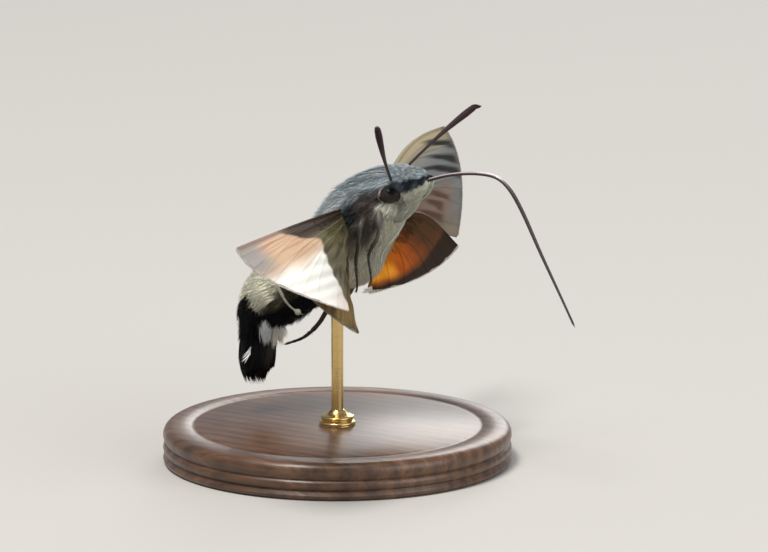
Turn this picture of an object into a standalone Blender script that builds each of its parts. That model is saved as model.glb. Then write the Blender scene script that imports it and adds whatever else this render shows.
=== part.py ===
"""Hummingbird hawk moth hovering with its tongue out, life size, on a plain display stand.

The moth faces +X with its left side towards +Y, and +Z is up. The world origin is the centre of
the stand base's underside. The moth hangs from an empty in the middle of its thorax, and every
size below that places a piece of it is counted from there.
"""
import math

import bmesh
import bpy
import numpy as np
from mathutils import Vector

MM = 0.001
GAP = 0.3 * MM

# Height of the middle of the thorax over the table, and its place over the base
THORAX_HEIGHT = 22.6 * MM
THORAX_FORWARD = 3.0 * MM

# Body line from the neck to the tip of the tail fan, in mm and degrees:
# arc length, pitch of the line, half height, half width
NECK = (2.89 * MM, 3.67 * MM)
BODY_LINE = (
    (0.0, 49.0, 2.10, 2.30),
    (2.3, 52.0, 3.30, 3.40),
    (4.3, 52.0, 3.80, 3.85),
    (6.8, 47.0, 3.75, 3.75),
    (9.0, 41.0, 3.40, 3.40),
    (11.2, 36.0, 3.15, 3.15),
    (13.5, 31.0, 3.05, 3.10),
    (15.7, 31.0, 2.95, 3.05),
    (17.8, 46.0, 2.65, 2.85),
    (19.5, 71.0, 2.15, 2.50),
    (21.2, 86.0, 1.80, 2.20),
    (22.9, 89.0, 1.74, 2.30),
    (24.7, 92.0, 1.45, 2.35),
    (26.5, 94.0, 0.70, 1.90),
)
THORAX_SPAN = (1.1, 8.6)
ABDOMEN_FRONT_SPAN = (8.9, 13.1)
ABDOMEN_MID_SPAN = (13.4, 17.3)
ABDOMEN_REAR_SPAN = (17.7, 21.0)
BODY_SIDES = 28

# Locks of long scales, in mm: half width and half thickness at the root and tip, and how deep
# the root is sunk in the body
LOCK_HALF_WIDTH = 0.62
LOCK_TIP_WIDTH = 0.10
LOCK_HALF_THICK = 0.27
LOCK_TIP_THICK = 0.09
LOCK_SINK = 0.45
LOCK_STATIONS = 5

# Tail fan: a short core, and locks rooted in tiers round it: root arc length, reach, count,
# first place round the body in degrees, and lift of the tip, lengths in mm; the locks' lengths
# vary by a share, and their tips turn to the sides by up to the spread in degrees
TAIL_CORE_SPAN = (21.35, 23.6)
TAIL_CORE_SHRINK = -0.35 * MM
TAIL_LENGTH_VARIES = (-0.06, 0.04)
TAIL_SPREAD = 8.0
TAIL_TIERS = (
    (21.9, 3.5, 9, 0.0, 0.10),
    (22.6, 3.6, 9, 20.0, -0.10),
)

# Side tufts of the abdomen: root arc length, reach, and lift of the tips, in mm, their places
# round each side in degrees from the middle of the belly, how far every other lock is set back
# in mm, and how far the tips turn up the side in degrees
TUFT_PLACES = (58.0, 78.0, 98.0, 118.0)
TUFT_STAGGER = 0.12
TUFT_SPREAD = 4.0
ABDOMEN_MID_TUFTS = ((15.0, 2.9, 0.65),)
ABDOMEN_REAR_TUFTS = ((17.95, 2.3, 0.5), (19.4, 2.8, 0.65))

# Head: an ovoid pitched up, with the eyes let into its sides
HEAD_CENTRE = (3.71 * MM, 0.0, 3.84 * MM)
HEAD_PITCH = math.radians(22)
HEAD_HALF = (1.95 * MM, 1.95 * MM, 1.92 * MM)
EYE_CENTRE = (3.62 * MM, 1.65 * MM, 3.32 * MM)
EYE_RADIUS = 0.98 * MM

# Palps: two upcurved cones that make the beak, one each side of the tongue
PALP_ROOT = (0.35 * MM, 1.10 * MM, -0.95 * MM)
PALP_TIP = (3.30 * MM, 0.86 * MM, -0.40 * MM)
PALP_HALF_ROOT = (0.50 * MM, 1.05 * MM)
PALP_HALF_TIP = (0.20 * MM, 0.26 * MM)

# Antennae: base on the head, direction and length, radii of shaft and club
ANTENNA_BASE_RIGHT = (3.6 * MM, -1.05 * MM, 4.1 * MM)
ANTENNA_BASE_LEFT = (3.3 * MM, 1.05 * MM, 4.8 * MM)
ANTENNA_RUN_RIGHT = (2.90 * MM, -7.13 * MM, 6.85 * MM)
ANTENNA_RUN_LEFT = (3.29 * MM, 8.12 * MM, 5.41 * MM)
ANTENNA_BOW_RIGHT = -0.35 * MM
ANTENNA_BOW_LEFT = 0.25 * MM
ANTENNA_RADII = ((0.0, 0.26), (0.35, 0.25), (0.7, 0.36), (0.86, 0.42), (0.95, 0.34), (1.0, 0.12))

# Tongue: arc length in mm and rise in degrees, from inside the head between the palps
TONGUE_START = (4.15 * MM, 3.64 * MM)
TONGUE_LINE = (
    (0.0, 19.5),
    (3.8, 18.3),
    (5.7, 11.5),
    (7.8, 4.0),
    (9.6, -8.5),
    (11.1, -38.0),
    (12.4, -53.0),
    (14.2, -59.5),
    (16.3, -62.5),
    (18.3, -61.0),
    (25.5, -61.0),
)
TONGUE_SPANS = ((0.0, 9.4), (9.7, 17.2), (17.5, 25.5))
TONGUE_RADIUS = 0.26 * MM
TONGUE_TIP_RADIUS = 0.14 * MM

# Wings: root beside the thorax, sweep forward and raise of the span, turn of the chord from
# straight down towards the front at the root and at the tip, all angles in degrees
FOREWING_ROOT = (-0.27 * MM, 3.0 * MM, 1.25 * MM)
HINDWING_LEFT_ROOT = (0.10 * MM, 3.0 * MM, -1.45 * MM)
HINDWING_RIGHT_ROOT = (-0.45 * MM, 3.0 * MM, -1.6 * MM)
FOREWING_LEFT_POSE = (-15.2, 11.5, 11.5, 21.0)
FOREWING_RIGHT_POSE = (3.8, 1.7, 25.0, 57.0)
HINDWING_LEFT_POSE = (5.5, -15.0, -36.0, -37.0)
HINDWING_RIGHT_POSE = (8.4, 1.0, 23.0, 42.0)

# Wing outlines in mm along the span and the chord: root ends, apex, margin bulge, inner corner,
# forward bulge of the leading edge, camber, and the width kept when the rear part is pleated
FOREWING_LEFT_SHAPE = {
    "root": (-0.5, 1.4),
    "apex": (20.0, 0.5),
    "margin": (22.3, 5.0),
    "corner": (13.6, 9.4),
    "bulge": 1.45,
    "camber": 0.9,
    "width": 1.0,
}
FOREWING_RIGHT_SHAPE = {
    "root": (-0.5, 1.4),
    "apex": (20.0, 0.1),
    "margin": (25.0, 6.5),
    "corner": (9.6, 8.9),
    "bulge": 0.15,
    "camber": 0.9,
    "width": 1.0,
}
HINDWING_LEFT_SHAPE = {
    "root": (-0.6, 1.7),
    "apex": (11.7, 0.0),
    "margin": (12.7, 6.2),
    "corner": (4.6, 8.9),
    "bulge": 1.8,
    "camber": 0.5,
    "width": 0.78,
}
HINDWING_RIGHT_SHAPE = {
    "root": (-0.6, 1.2),
    "apex": (12.0, -0.3),
    "margin": (13.6, 5.9),
    "corner": (6.0, 8.8),
    "bulge": 1.65,
    "camber": 0.5,
    "width": 0.9,
}
FOREWING_VEINS = (0.0, 0.1, 0.21, 0.34, 0.47, 0.6, 0.73, 0.86, 1.0)
HINDWING_VEINS = (0.0, 0.15, 0.3, 0.46, 0.62, 0.8, 1.0)
VEIN_HALF_WIDTH = 0.022
VEIN_RISE = 0.12 * MM
MEMBRANE_HALF = 0.26 * MM
WING_ROWS = 11

# Legs: arc length along the body in mm, degrees round from the belly's middle line, and lift off
# the body's surface in mm; the left hind leg hangs free and is given in mm from the thorax
LEG_FRONT_RIGHT = ((1.9, 50.0, -1.1), (2.3, 46.0, 0.75), (4.4, 37.0, 0.8), (6.7, 32.0, 0.85))
LEG_FRONT_LEFT = ((1.9, 40.0, -1.1), (2.3, 32.0, 0.7), (4.4, 9.0, 0.75), (6.3, 3.0, 0.75))
LEG_MID_RIGHT = (
    (2.6, 74.0, -1.1),
    (3.0, 70.0, 0.75),
    (5.0, 54.0, 0.75),
    (6.9, 42.0, 0.8),
    (8.7, 24.0, 0.85),
)
LEG_MID_LEFT = (
    (2.6, 72.0, -1.1),
    (3.0, 66.0, 0.75),
    (5.0, 59.0, 0.75),
    (6.9, 54.0, 0.8),
    (8.2, 48.0, 0.85),
)
LEG_HIND_RIGHT = (
    (7.6, 48.0, -1.1),
    (8.6, 60.0, 0.8),
    (11.0, 84.0, 0.85),
    (14.1, 92.0, 0.9),
    (14.6, 64.0, 0.85),
    (14.6, 42.0, 0.9),
    (14.0, 30.0, 0.95),
)
LEG_HIND_LEFT = (
    (-1.3, 1.3, -4.3),
    (-2.9, 1.3, -7.4),
    (-4.7, 1.2, -8.8),
    (-5.8, 1.5, -10.2),
    (-6.9, 2.0, -11.2),
    (-8.3, 2.5, -12.2),
    (-10.0, 3.0, -13.2),
)
LEG_RADIUS_ROOT = 0.42 * MM
LEG_RADIUS_TIP = 0.26 * MM

# Stand: a turned base and one turned rod with a foot collar
BASE_RADIUS = 16.0 * MM
BASE_HEIGHT = 3.4 * MM
BASE_EDGE = 0.7 * MM
ROD_RADIUS = 0.55 * MM
COLLAR_RADIUS = 1.7 * MM
COLLAR_HEIGHT = 1.0 * MM
COLLAR_EDGE = 0.25 * MM

COLOURS = {
    "body_fur": ((0.20, 0.22, 0.21), 0.85, 0.0),
    "abdomen_fur": ((0.10, 0.09, 0.08), 0.85, 0.0),
    "tail_scales": ((0.012, 0.012, 0.014), 0.8, 0.0),
    "eye": ((0.015, 0.014, 0.016), 0.15, 0.0),
    "palp_fur": ((0.32, 0.34, 0.33), 0.85, 0.0),
    "antenna": ((0.035, 0.022, 0.025), 0.6, 0.0),
    "tongue": ((0.03, 0.018, 0.015), 0.45, 0.0),
    "leg": ((0.09, 0.07, 0.045), 0.7, 0.0),
    "forewing": ((0.42, 0.33, 0.25), 0.7, 0.0),
    "hindwing": ((0.65, 0.25, 0.05), 0.7, 0.0),
    "base_wood": ((0.13, 0.06, 0.03), 0.45, 0.0),
    "rod_metal": ((0.72, 0.52, 0.22), 0.3, 1.0),
}


def clear_scene():
    """Remove the objects the file opens with."""
    for obj in list(bpy.data.objects):
        bpy.data.objects.remove(obj, do_unlink=True)


def new_collection(name):
    """A collection linked to the scene."""
    made = bpy.data.collections.new(name)
    bpy.context.scene.collection.children.link(made)
    return made


def new_material(name):
    """Principled material with the colour, roughness and metallic value of its piece."""
    colour, roughness, metallic = COLOURS[name]
    material = bpy.data.materials.new(name)
    material.use_nodes = True
    shader = material.node_tree.nodes["Principled BSDF"]
    shader.inputs["Base Color"].default_value = (*colour, 1.0)
    shader.inputs["Roughness"].default_value = roughness
    shader.inputs["Metallic"].default_value = metallic
    material.diffuse_color = (*colour, 1.0)
    return material


def spline(arcs, values, at):
    """Smooth cubic through the keys, each slope taken from the keys beside it."""
    arcs = np.asarray(arcs, dtype=float)
    values = np.asarray(values, dtype=float)
    slopes = np.gradient(values, arcs)
    left = np.clip(np.searchsorted(arcs, at) - 1, 0, len(arcs) - 2)
    step = arcs[left + 1] - arcs[left]
    t = (at - arcs[left]) / step
    return (
        (1 + 2 * t) * (1 - t) ** 2 * values[left]
        + t * (1 - t) ** 2 * step * slopes[left]
        + t * t * (3 - 2 * t) * values[left + 1]
        + t * t * (t - 1) * step * slopes[left + 1]
    )


def trace(arcs, angles, start, forward, at):
    """Points in the XZ plane of a line whose slope angle is keyed along its length in mm.

    The line sets out from start, forward is 1 or -1 for its sense along X, and a positive angle
    rises forwards or falls backwards. Gives x, z and the angle in radians at each asked length.
    """
    fine = np.linspace(arcs[0], arcs[-1], 1200)
    angle = np.radians(spline(arcs, angles, fine))
    step = (fine[1] - fine[0]) * MM
    mid = (angle[1:] + angle[:-1]) / 2
    x = start[0] + forward * np.concatenate(([0.0], np.cumsum(np.cos(mid)))) * step
    z = start[1] + forward * np.concatenate(([0.0], np.cumsum(np.sin(mid)))) * step
    return np.interp(at, fine, x), np.interp(at, fine, z), np.interp(at, fine, angle)


def body_points(arc, around, grow=0.0):
    """Points on the body's surface.

    arc is the length along the body line in mm, around the angle in radians from the middle of
    the belly towards the moth's left, and grow the distance outside the surface.
    """
    arc, around = np.broadcast_arrays(np.asarray(arc, dtype=float), np.asarray(around, dtype=float))
    keys = np.array(BODY_LINE)
    x, z, pitch = trace(keys[:, 0], keys[:, 1], NECK, -1, arc)
    half_height = spline(keys[:, 0], keys[:, 2], arc) * MM + grow
    half_width = spline(keys[:, 0], keys[:, 3], arc) * MM + grow
    back = -np.cos(around) * half_height
    return np.stack(
        (x - back * np.sin(pitch), half_width * np.sin(around), z + back * np.cos(pitch)), axis=-1
    )


def head_frame():
    """Forward and up directions of the pitched head."""
    forward = Vector((math.cos(HEAD_PITCH), 0.0, math.sin(HEAD_PITCH)))
    up = Vector((-math.sin(HEAD_PITCH), 0.0, math.cos(HEAD_PITCH)))
    return forward, up


def head_place(along, aside, above):
    """Point given in the head's own forward, left and up directions from its centre."""
    forward, up = head_frame()
    return Vector(HEAD_CENTRE) + forward * along + Vector((0.0, aside, 0.0)) + up * above


class Builder:
    """Collections, materials and the empty that carries the moth."""

    def __init__(self):
        clear_scene()
        self.parts = new_collection("hummingbird_hawk_moth")
        self.cutters = new_collection("cutters")
        self.materials = {name: new_material(name) for name in COLOURS}
        self.moth = bpy.data.objects.new("moth", None)
        self.moth.location = (THORAX_FORWARD, 0.0, THORAX_HEIGHT)
        self.parts.objects.link(self.moth)

    def add(self, name, mesh, material=None, on_moth=True, smooth=40):
        """Put a mesh in the scene as a part, or as a hidden cutter where it has no material."""
        obj = bpy.data.objects.new(name, mesh)
        if material is None:
            self.cutters.objects.link(obj)
            obj.hide_render = True
            obj.display_type = "WIRE"
        else:
            self.parts.objects.link(obj)
            mesh.materials.append(self.materials[material])
        if on_moth:
            obj.parent = self.moth
        mesh.shade_smooth()
        mesh.set_sharp_from_angle(angle=math.radians(smooth))
        return obj


def face_outwards(shape):
    """Make the faces agree and turn them outwards, worked in mm because the faces are small."""
    bmesh.ops.scale(shape, vec=(1 / MM,) * 3, verts=shape.verts)
    bmesh.ops.recalc_face_normals(shape, faces=shape.faces)
    if shape.calc_volume(signed=True) < 0:
        bmesh.ops.reverse_faces(shape, faces=shape.faces)
    bmesh.ops.scale(shape, vec=(MM,) * 3, verts=shape.verts)


def mesh_from(name, points, faces):
    """Closed mesh with its faces turned outwards."""
    mesh = bpy.data.meshes.new(name)
    mesh.from_pydata([tuple(p) for p in points], [], faces)
    shape = bmesh.new()
    shape.from_mesh(mesh)
    face_outwards(shape)
    shape.to_mesh(mesh)
    shape.free()
    return mesh


def loft(name, rings):
    """Skin over rings of equal count, closed by a flat face at each end."""
    count, sides = rings.shape[:2]
    faces = []
    for row in range(count - 1):
        for side in range(sides):
            after = (side + 1) % sides
            faces.append(
                (
                    row * sides + side,
                    row * sides + after,
                    (row + 1) * sides + after,
                    (row + 1) * sides + side,
                )
            )
    faces.append(tuple(reversed(range(sides))))
    faces.append(tuple((count - 1) * sides + side for side in range(sides)))
    return mesh_from(name, rings.reshape(-1, 3), faces)


def body_length(name, span, rows, grow=0.0, stretch=0.0):
    """One length of the body between two arc lengths, its ends square to the body line."""
    arcs = np.linspace(span[0] - stretch, span[1] + stretch, rows)
    around = np.linspace(0.0, 2 * math.pi, BODY_SIDES, endpoint=False)
    rings = body_points(arcs[:, None], around[None, :], grow)
    return loft(name, rings)


def lock(name, root, reach, place, lift, spread):
    """Flat tapered lock that lies along the body and leaves its surface towards the tip.

    Its four-sided sections run from a root sunk in the body to a thin tip, and spread turns it
    round the body on the way, in degrees.
    """
    rings = []
    for t in np.linspace(0.0, 1.0, LOCK_STATIONS):
        arc = root + reach * t
        turn = math.radians(place + spread * t)
        rise = (-LOCK_SINK + (lift + LOCK_SINK) * t ** 0.7) * MM
        centre = body_points(arc, turn, rise)
        outward = body_points(arc, turn, rise + MM) - centre
        outward = outward / np.linalg.norm(outward)
        back = body_points(arc + 0.1, turn, rise) - centre
        back = back / np.linalg.norm(back)
        aside = np.cross(outward, back)
        width = (LOCK_TIP_WIDTH + (LOCK_HALF_WIDTH - LOCK_TIP_WIDTH) * (1 - t ** 2.5)) * MM
        thick = (LOCK_TIP_THICK + (LOCK_HALF_THICK - LOCK_TIP_THICK) * (1 - t)) * MM
        rings.append(
            [
                centre + aside * width,
                centre + outward * thick,
                centre - aside * width,
                centre - outward * thick,
            ]
        )
    return loft(name, np.array(rings))


def keep_largest(mesh):
    """Drop every closed surface but the largest."""
    shape = bmesh.new()
    shape.from_mesh(mesh)
    left = set(shape.faces)
    groups = []
    while left:
        front = [left.pop()]
        group = list(front)
        while front:
            face = front.pop()
            for edge in face.edges:
                for other in edge.link_faces:
                    if other in left:
                        left.remove(other)
                        group.append(other)
                        front.append(other)
        groups.append(group)
    groups.sort(key=lambda group: sum(face.calc_area() for face in group))
    scraps = [face for group in groups[:-1] for face in group]
    bmesh.ops.delete(shape, geom=scraps, context="FACES")
    bmesh.ops.triangulate(shape, faces=shape.faces)
    shape.to_mesh(mesh)
    shape.free()


def fuse(name, core, locks):
    """Join the locks to the core by one Boolean union, as one closed mesh."""
    scene = bpy.context.scene.collection
    holder = bpy.data.objects.new(name + "_core", core)
    scene.objects.link(holder)
    group = bpy.data.collections.new(name + "_locks")
    scene.children.link(group)
    for mesh in locks:
        group.objects.link(bpy.data.objects.new(mesh.name, mesh))
    modifier = holder.modifiers.new("union", "BOOLEAN")
    modifier.operation = "UNION"
    modifier.operand_type = "COLLECTION"
    modifier.collection = group
    modifier.solver = "MANIFOLD"
    depsgraph = bpy.context.evaluated_depsgraph_get()
    joined = bpy.data.meshes.new_from_object(holder.evaluated_get(depsgraph))
    joined.name = name
    for obj in list(group.objects) + [holder]:
        bpy.data.objects.remove(obj, do_unlink=True)
    bpy.data.collections.remove(group)
    keep_largest(joined)
    return joined


def tufted_length(name, span, tufts):
    """Length of the abdomen with a row of side locks for each tuft line, on both sides."""
    locks = []
    for root, reach, lift in tufts:
        for side in (1, -1):
            for number, place in enumerate(TUFT_PLACES):
                back = TUFT_STAGGER * (number % 2)
                locks.append(
                    lock("lock", root + back, reach, side * place, lift - 2 * back, side * TUFT_SPREAD)
                )
    return fuse(name, body_length(name + "_core", span, 7), locks)


def tail_fan(name):
    """Tail fan: locks in two tiers round a short core, spread a little to the sides."""
    core = body_length(name + "_core", TAIL_CORE_SPAN, 4, TAIL_CORE_SHRINK)
    chance = np.random.default_rng(7)
    locks = []
    for root, reach, count, first, lift in TAIL_TIERS:
        for number in range(count):
            place = first + 360.0 * number / count
            length = reach * (1.0 + chance.uniform(*TAIL_LENGTH_VARIES))
            spread = TAIL_SPREAD * math.sin(2 * math.radians(place))
            locks.append(lock("lock", root, length, place, lift, spread))
    return fuse(name, core, locks)


def ovoid(name, centre, halves, pitch, segments, rings):
    """Sphere stretched to three half sizes and pitched up."""
    shape = bmesh.new()
    bmesh.ops.create_uvsphere(shape, u_segments=segments, v_segments=rings, radius=1.0)
    for vert in shape.verts:
        x = vert.co.z * halves[0]
        y = vert.co.y * halves[1]
        z = vert.co.x * halves[2]
        vert.co = Vector(centre) + Vector(
            (
                x * math.cos(pitch) - z * math.sin(pitch),
                y,
                x * math.sin(pitch) + z * math.cos(pitch),
            )
        )
    face_outwards(shape)
    mesh = bpy.data.meshes.new(name)
    shape.to_mesh(mesh)
    shape.free()
    return mesh


def tube(name, points, radii):
    """Round tube along the points as a bevelled curve, turned into a closed mesh."""
    curve = bpy.data.curves.new(name + "_curve", "CURVE")
    curve.dimensions = "3D"
    curve.bevel_depth = 1.0
    curve.bevel_resolution = 2
    curve.use_fill_caps = True
    line = curve.splines.new("POLY")
    line.points.add(len(points) - 1)
    for point, place, radius in zip(line.points, points, radii):
        point.co = (*place, 1.0)
        point.radius = radius
    guide = bpy.data.objects.new(name + "_guide", curve)
    bpy.context.scene.collection.objects.link(guide)
    depsgraph = bpy.context.evaluated_depsgraph_get()
    mesh = bpy.data.meshes.new_from_object(guide.evaluated_get(depsgraph))
    mesh.name = name
    bpy.data.objects.remove(guide, do_unlink=True)
    bpy.data.curves.remove(curve)
    shape = bmesh.new()
    shape.from_mesh(mesh)
    bmesh.ops.remove_doubles(shape, verts=shape.verts, dist=0.001 * MM)
    face_outwards(shape)
    shape.to_mesh(mesh)
    shape.free()
    return mesh


def smooth_run(points, count):
    """Even points along a smooth curve through the given ones."""
    points = np.array(points, dtype=float)
    arcs = np.concatenate(([0.0], np.cumsum(np.linalg.norm(np.diff(points, axis=0), axis=1))))
    at = np.linspace(0.0, arcs[-1], count)
    return np.stack([spline(arcs, points[:, axis], at) for axis in range(3)], axis=1)


def cut(obj, *cutters, solver="EXACT"):
    """Take each cutter out of the object."""
    for cutter in cutters:
        modifier = obj.modifiers.new("cut_" + cutter.name, "BOOLEAN")
        modifier.operation = "DIFFERENCE"
        modifier.solver = solver
        modifier.object = cutter


def wing_outline_point(shape, along, across):
    """Span and chord position of a wing point.

    along runs from root to outer margin and across from leading edge to inner margin. The rows
    across the root and along the margin, a curve with one bend from apex to corner, are joined
    by straight lines, and the leading edge bulges forwards by a half sine.
    """
    apex, bend, corner = (np.array(shape[key]) for key in ("apex", "margin", "corner"))
    w = across[..., None]
    edge = (1 - w) ** 2 * apex + 2 * w * (1 - w) * bend + w * w * corner
    root = shape["root"][0] + (shape["root"][1] - shape["root"][0]) * across
    span = along * edge[..., 0]
    chord = (1 - along) * root + along * edge[..., 1]
    chord = chord - shape["bulge"] * np.sin(math.pi * along) * (1 - across) ** 2
    return span, np.where(chord > 0, chord * shape["width"], chord)


def wing_points(shape, root, pose, side, along, across):
    """Points of the wing's middle surface, with the chord turned along the span and cambered."""
    sweep, rise, turn_root, turn_tip = np.radians(pose)
    out = np.array(
        (
            math.sin(sweep) * math.cos(rise),
            side * math.cos(sweep) * math.cos(rise),
            math.sin(rise),
        )
    )
    span, chord = wing_outline_point(shape, along, across)
    turn = turn_root + (turn_tip - turn_root) * span / shape["apex"][0]
    down = np.stack((np.sin(turn), np.zeros_like(turn), -np.cos(turn)), axis=-1)
    down = down - (down @ out)[..., None] * out
    down = down / np.linalg.norm(down, axis=-1, keepdims=True)
    face = np.cross(down, out) * side
    swell = shape["camber"] * np.sin(math.pi * along) * np.sin(math.pi * across)
    start = np.array(root) * (1, side, 1)
    return start + (span[..., None] * out + chord[..., None] * down + swell[..., None] * face) * MM


def wing(name, shape, root, pose, side, veins):
    """Wing as one sheet with the veins raised in both faces."""
    across = [veins[0]]
    rise = [1.0]
    for left, right in zip(veins, veins[1:]):
        across += [left + VEIN_HALF_WIDTH, right - VEIN_HALF_WIDTH, right]
        rise += [0.0, 0.0, 1.0]
    across = np.array(across)
    along = np.linspace(0.0, 1.0, WING_ROWS)
    grid_along, grid_across = np.meshgrid(along, across, indexing="ij")
    middle = wing_points(shape, root, pose, side, grid_along, grid_across)
    step = 0.004
    to_margin = wing_points(shape, root, pose, side, grid_along + step, grid_across) - middle
    to_rear = wing_points(shape, root, pose, side, grid_along, grid_across + step) - middle
    normal = np.cross(to_margin, to_rear)
    normal = normal / np.linalg.norm(normal, axis=-1, keepdims=True)
    half = MEMBRANE_HALF + np.array(rise)[None, :] * VEIN_RISE * (0.35 + 0.65 * (1 - grid_along))
    upper = middle + normal * half[..., None]
    lower = middle - normal * half[..., None]
    rows, columns = grid_along.shape
    size = rows * columns
    faces = []
    for row in range(rows - 1):
        for column in range(columns - 1):
            a = row * columns + column
            b = a + columns
            faces += [(a, b, b + 1), (a, b + 1, a + 1)]
            faces += [(size + a, size + b + 1, size + b), (size + a, size + a + 1, size + b + 1)]
    rim = [(row, 0) for row in range(rows)]
    rim += [(rows - 1, column) for column in range(1, columns)]
    rim += [(row, columns - 1) for row in range(rows - 2, -1, -1)]
    rim += [(0, column) for column in range(columns - 2, 0, -1)]
    index = [row * columns + column for row, column in rim]
    for here, after in zip(index, index[1:] + index[:1]):
        faces.append((after, here, size + here, size + after))
    return mesh_from(name, np.concatenate((upper.reshape(-1, 3), lower.reshape(-1, 3))), faces)


def leg_run(keys, side):
    """Points of a leg that follows the body's surface between its keys."""
    keys = np.array(keys)
    order = np.arange(len(keys))
    at = np.linspace(0.0, len(keys) - 1, 14)
    arcs, around, lift = (spline(order, keys[:, column], at) for column in range(3))
    places = [
        body_points(arc, side * math.radians(turn), min(rise, keys[-1, 2]) * MM)
        for arc, turn, rise in zip(arcs, around, lift)
    ]
    return np.array(places)


def leg(name, points):
    """Leg as one tube, thickest at the thigh."""
    along = np.linspace(0.0, 1.0, len(points))
    radii = LEG_RADIUS_ROOT + (LEG_RADIUS_TIP - LEG_RADIUS_ROOT) * np.clip(along * 1.6, 0, 1)
    return tube(name, points, radii)


def antenna(name, base, run, bow):
    """Antenna with a slender shaft, a club near the tip and a pointed end, bowed a little."""
    along = np.linspace(0.0, 1.0, 12)
    keys = np.array(ANTENNA_RADII)
    lean = np.cross(np.array(run), (0.0, 0.0, 1.0))
    lean = np.cross(lean, np.array(run))
    lean = lean / np.linalg.norm(lean)
    points = np.array(base) + along[:, None] * np.array(run)
    points = points + lean * (bow * np.sin(math.pi * along))[:, None]
    radii = np.interp(along, keys[:, 0], keys[:, 1]) * MM
    return tube(name, points, radii)


def tongue(name, span):
    """One length of the tongue, a tube along its line in the middle plane."""
    keys = np.array(TONGUE_LINE)
    arcs = np.linspace(span[0], span[1], 12)
    x, z, _ = trace(keys[:, 0], keys[:, 1], TONGUE_START, 1, arcs)
    last = keys[-1, 0]
    taper = np.clip((arcs - last + 8.0) / 8.0, 0, 1)
    radii = TONGUE_RADIUS + (TONGUE_TIP_RADIUS - TONGUE_RADIUS) * taper
    return tube(name, np.stack((x, np.zeros_like(x), z), axis=1), radii)


def palp(name, side):
    """Palp as a tapering loft from under the eye to the tip of the beak."""
    along = np.linspace(0.0, 1.0, 8)
    around = np.linspace(0.0, 2 * math.pi, 14, endpoint=False)
    rings = []
    for t in along:
        centre = head_place(
            PALP_ROOT[0] + (PALP_TIP[0] - PALP_ROOT[0]) * t,
            side * (PALP_ROOT[1] + (PALP_TIP[1] - PALP_ROOT[1]) * t),
            PALP_ROOT[2] + (PALP_TIP[2] - PALP_ROOT[2]) * t * t,
        )
        shrink = math.sqrt(max(1 - t ** 3, 0.0))
        half_width = PALP_HALF_TIP[0] + (PALP_HALF_ROOT[0] - PALP_HALF_TIP[0]) * shrink
        half_height = PALP_HALF_TIP[1] + (PALP_HALF_ROOT[1] - PALP_HALF_TIP[1]) * shrink
        _, up = head_frame()
        rings.append(
            [
                centre
                + Vector((0.0, half_width * math.cos(turn), 0.0))
                + up * (half_height * math.sin(turn))
                for turn in around
            ]
        )
    return loft(name, np.array(rings))


def turned(builder, name, profile, material, steps):
    """Turned solid from a profile that runs from the top of the axis down to its bottom."""
    mesh = bpy.data.meshes.new(name)
    points = [(radius, 0.0, height) for radius, height in profile]
    mesh.from_pydata(points, [(i, i + 1) for i in range(len(points) - 1)], [])
    obj = builder.add(name, mesh, material, on_moth=False)
    screw = obj.modifiers.new("turn", "SCREW")
    screw.axis = "Z"
    screw.steps = steps
    screw.render_steps = steps
    screw.use_merge_vertices = True
    screw.merge_threshold = 0.00001
    return obj


def build_stand(builder, clearance):
    """Turned base on the table, and a rod with a foot collar up to the belly."""
    inset = BASE_RADIUS - BASE_EDGE
    shoulder = BASE_HEIGHT - BASE_EDGE
    slant = 0.29 * BASE_EDGE
    turned(
        builder,
        "stand_base",
        (
            (0.0, BASE_HEIGHT),
            (inset, BASE_HEIGHT),
            (BASE_RADIUS - slant, BASE_HEIGHT - slant),
            (BASE_RADIUS, shoulder),
            (BASE_RADIUS, slant),
            (BASE_RADIUS - slant, 0.0),
            (0.0, 0.0),
        ),
        "base_wood",
        56,
    )
    foot = BASE_HEIGHT + GAP
    collar_top = foot + COLLAR_HEIGHT
    rod = turned(
        builder,
        "stand_rod",
        (
            (0.0, THORAX_HEIGHT - 4.5 * MM),
            (ROD_RADIUS, THORAX_HEIGHT - 4.5 * MM),
            (ROD_RADIUS, collar_top),
            (COLLAR_RADIUS - COLLAR_EDGE, collar_top),
            (COLLAR_RADIUS, collar_top - COLLAR_EDGE),
            (COLLAR_RADIUS, foot),
            (0.0, foot),
        ),
        "rod_metal",
        24,
    )
    cut(rod, clearance)


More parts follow.
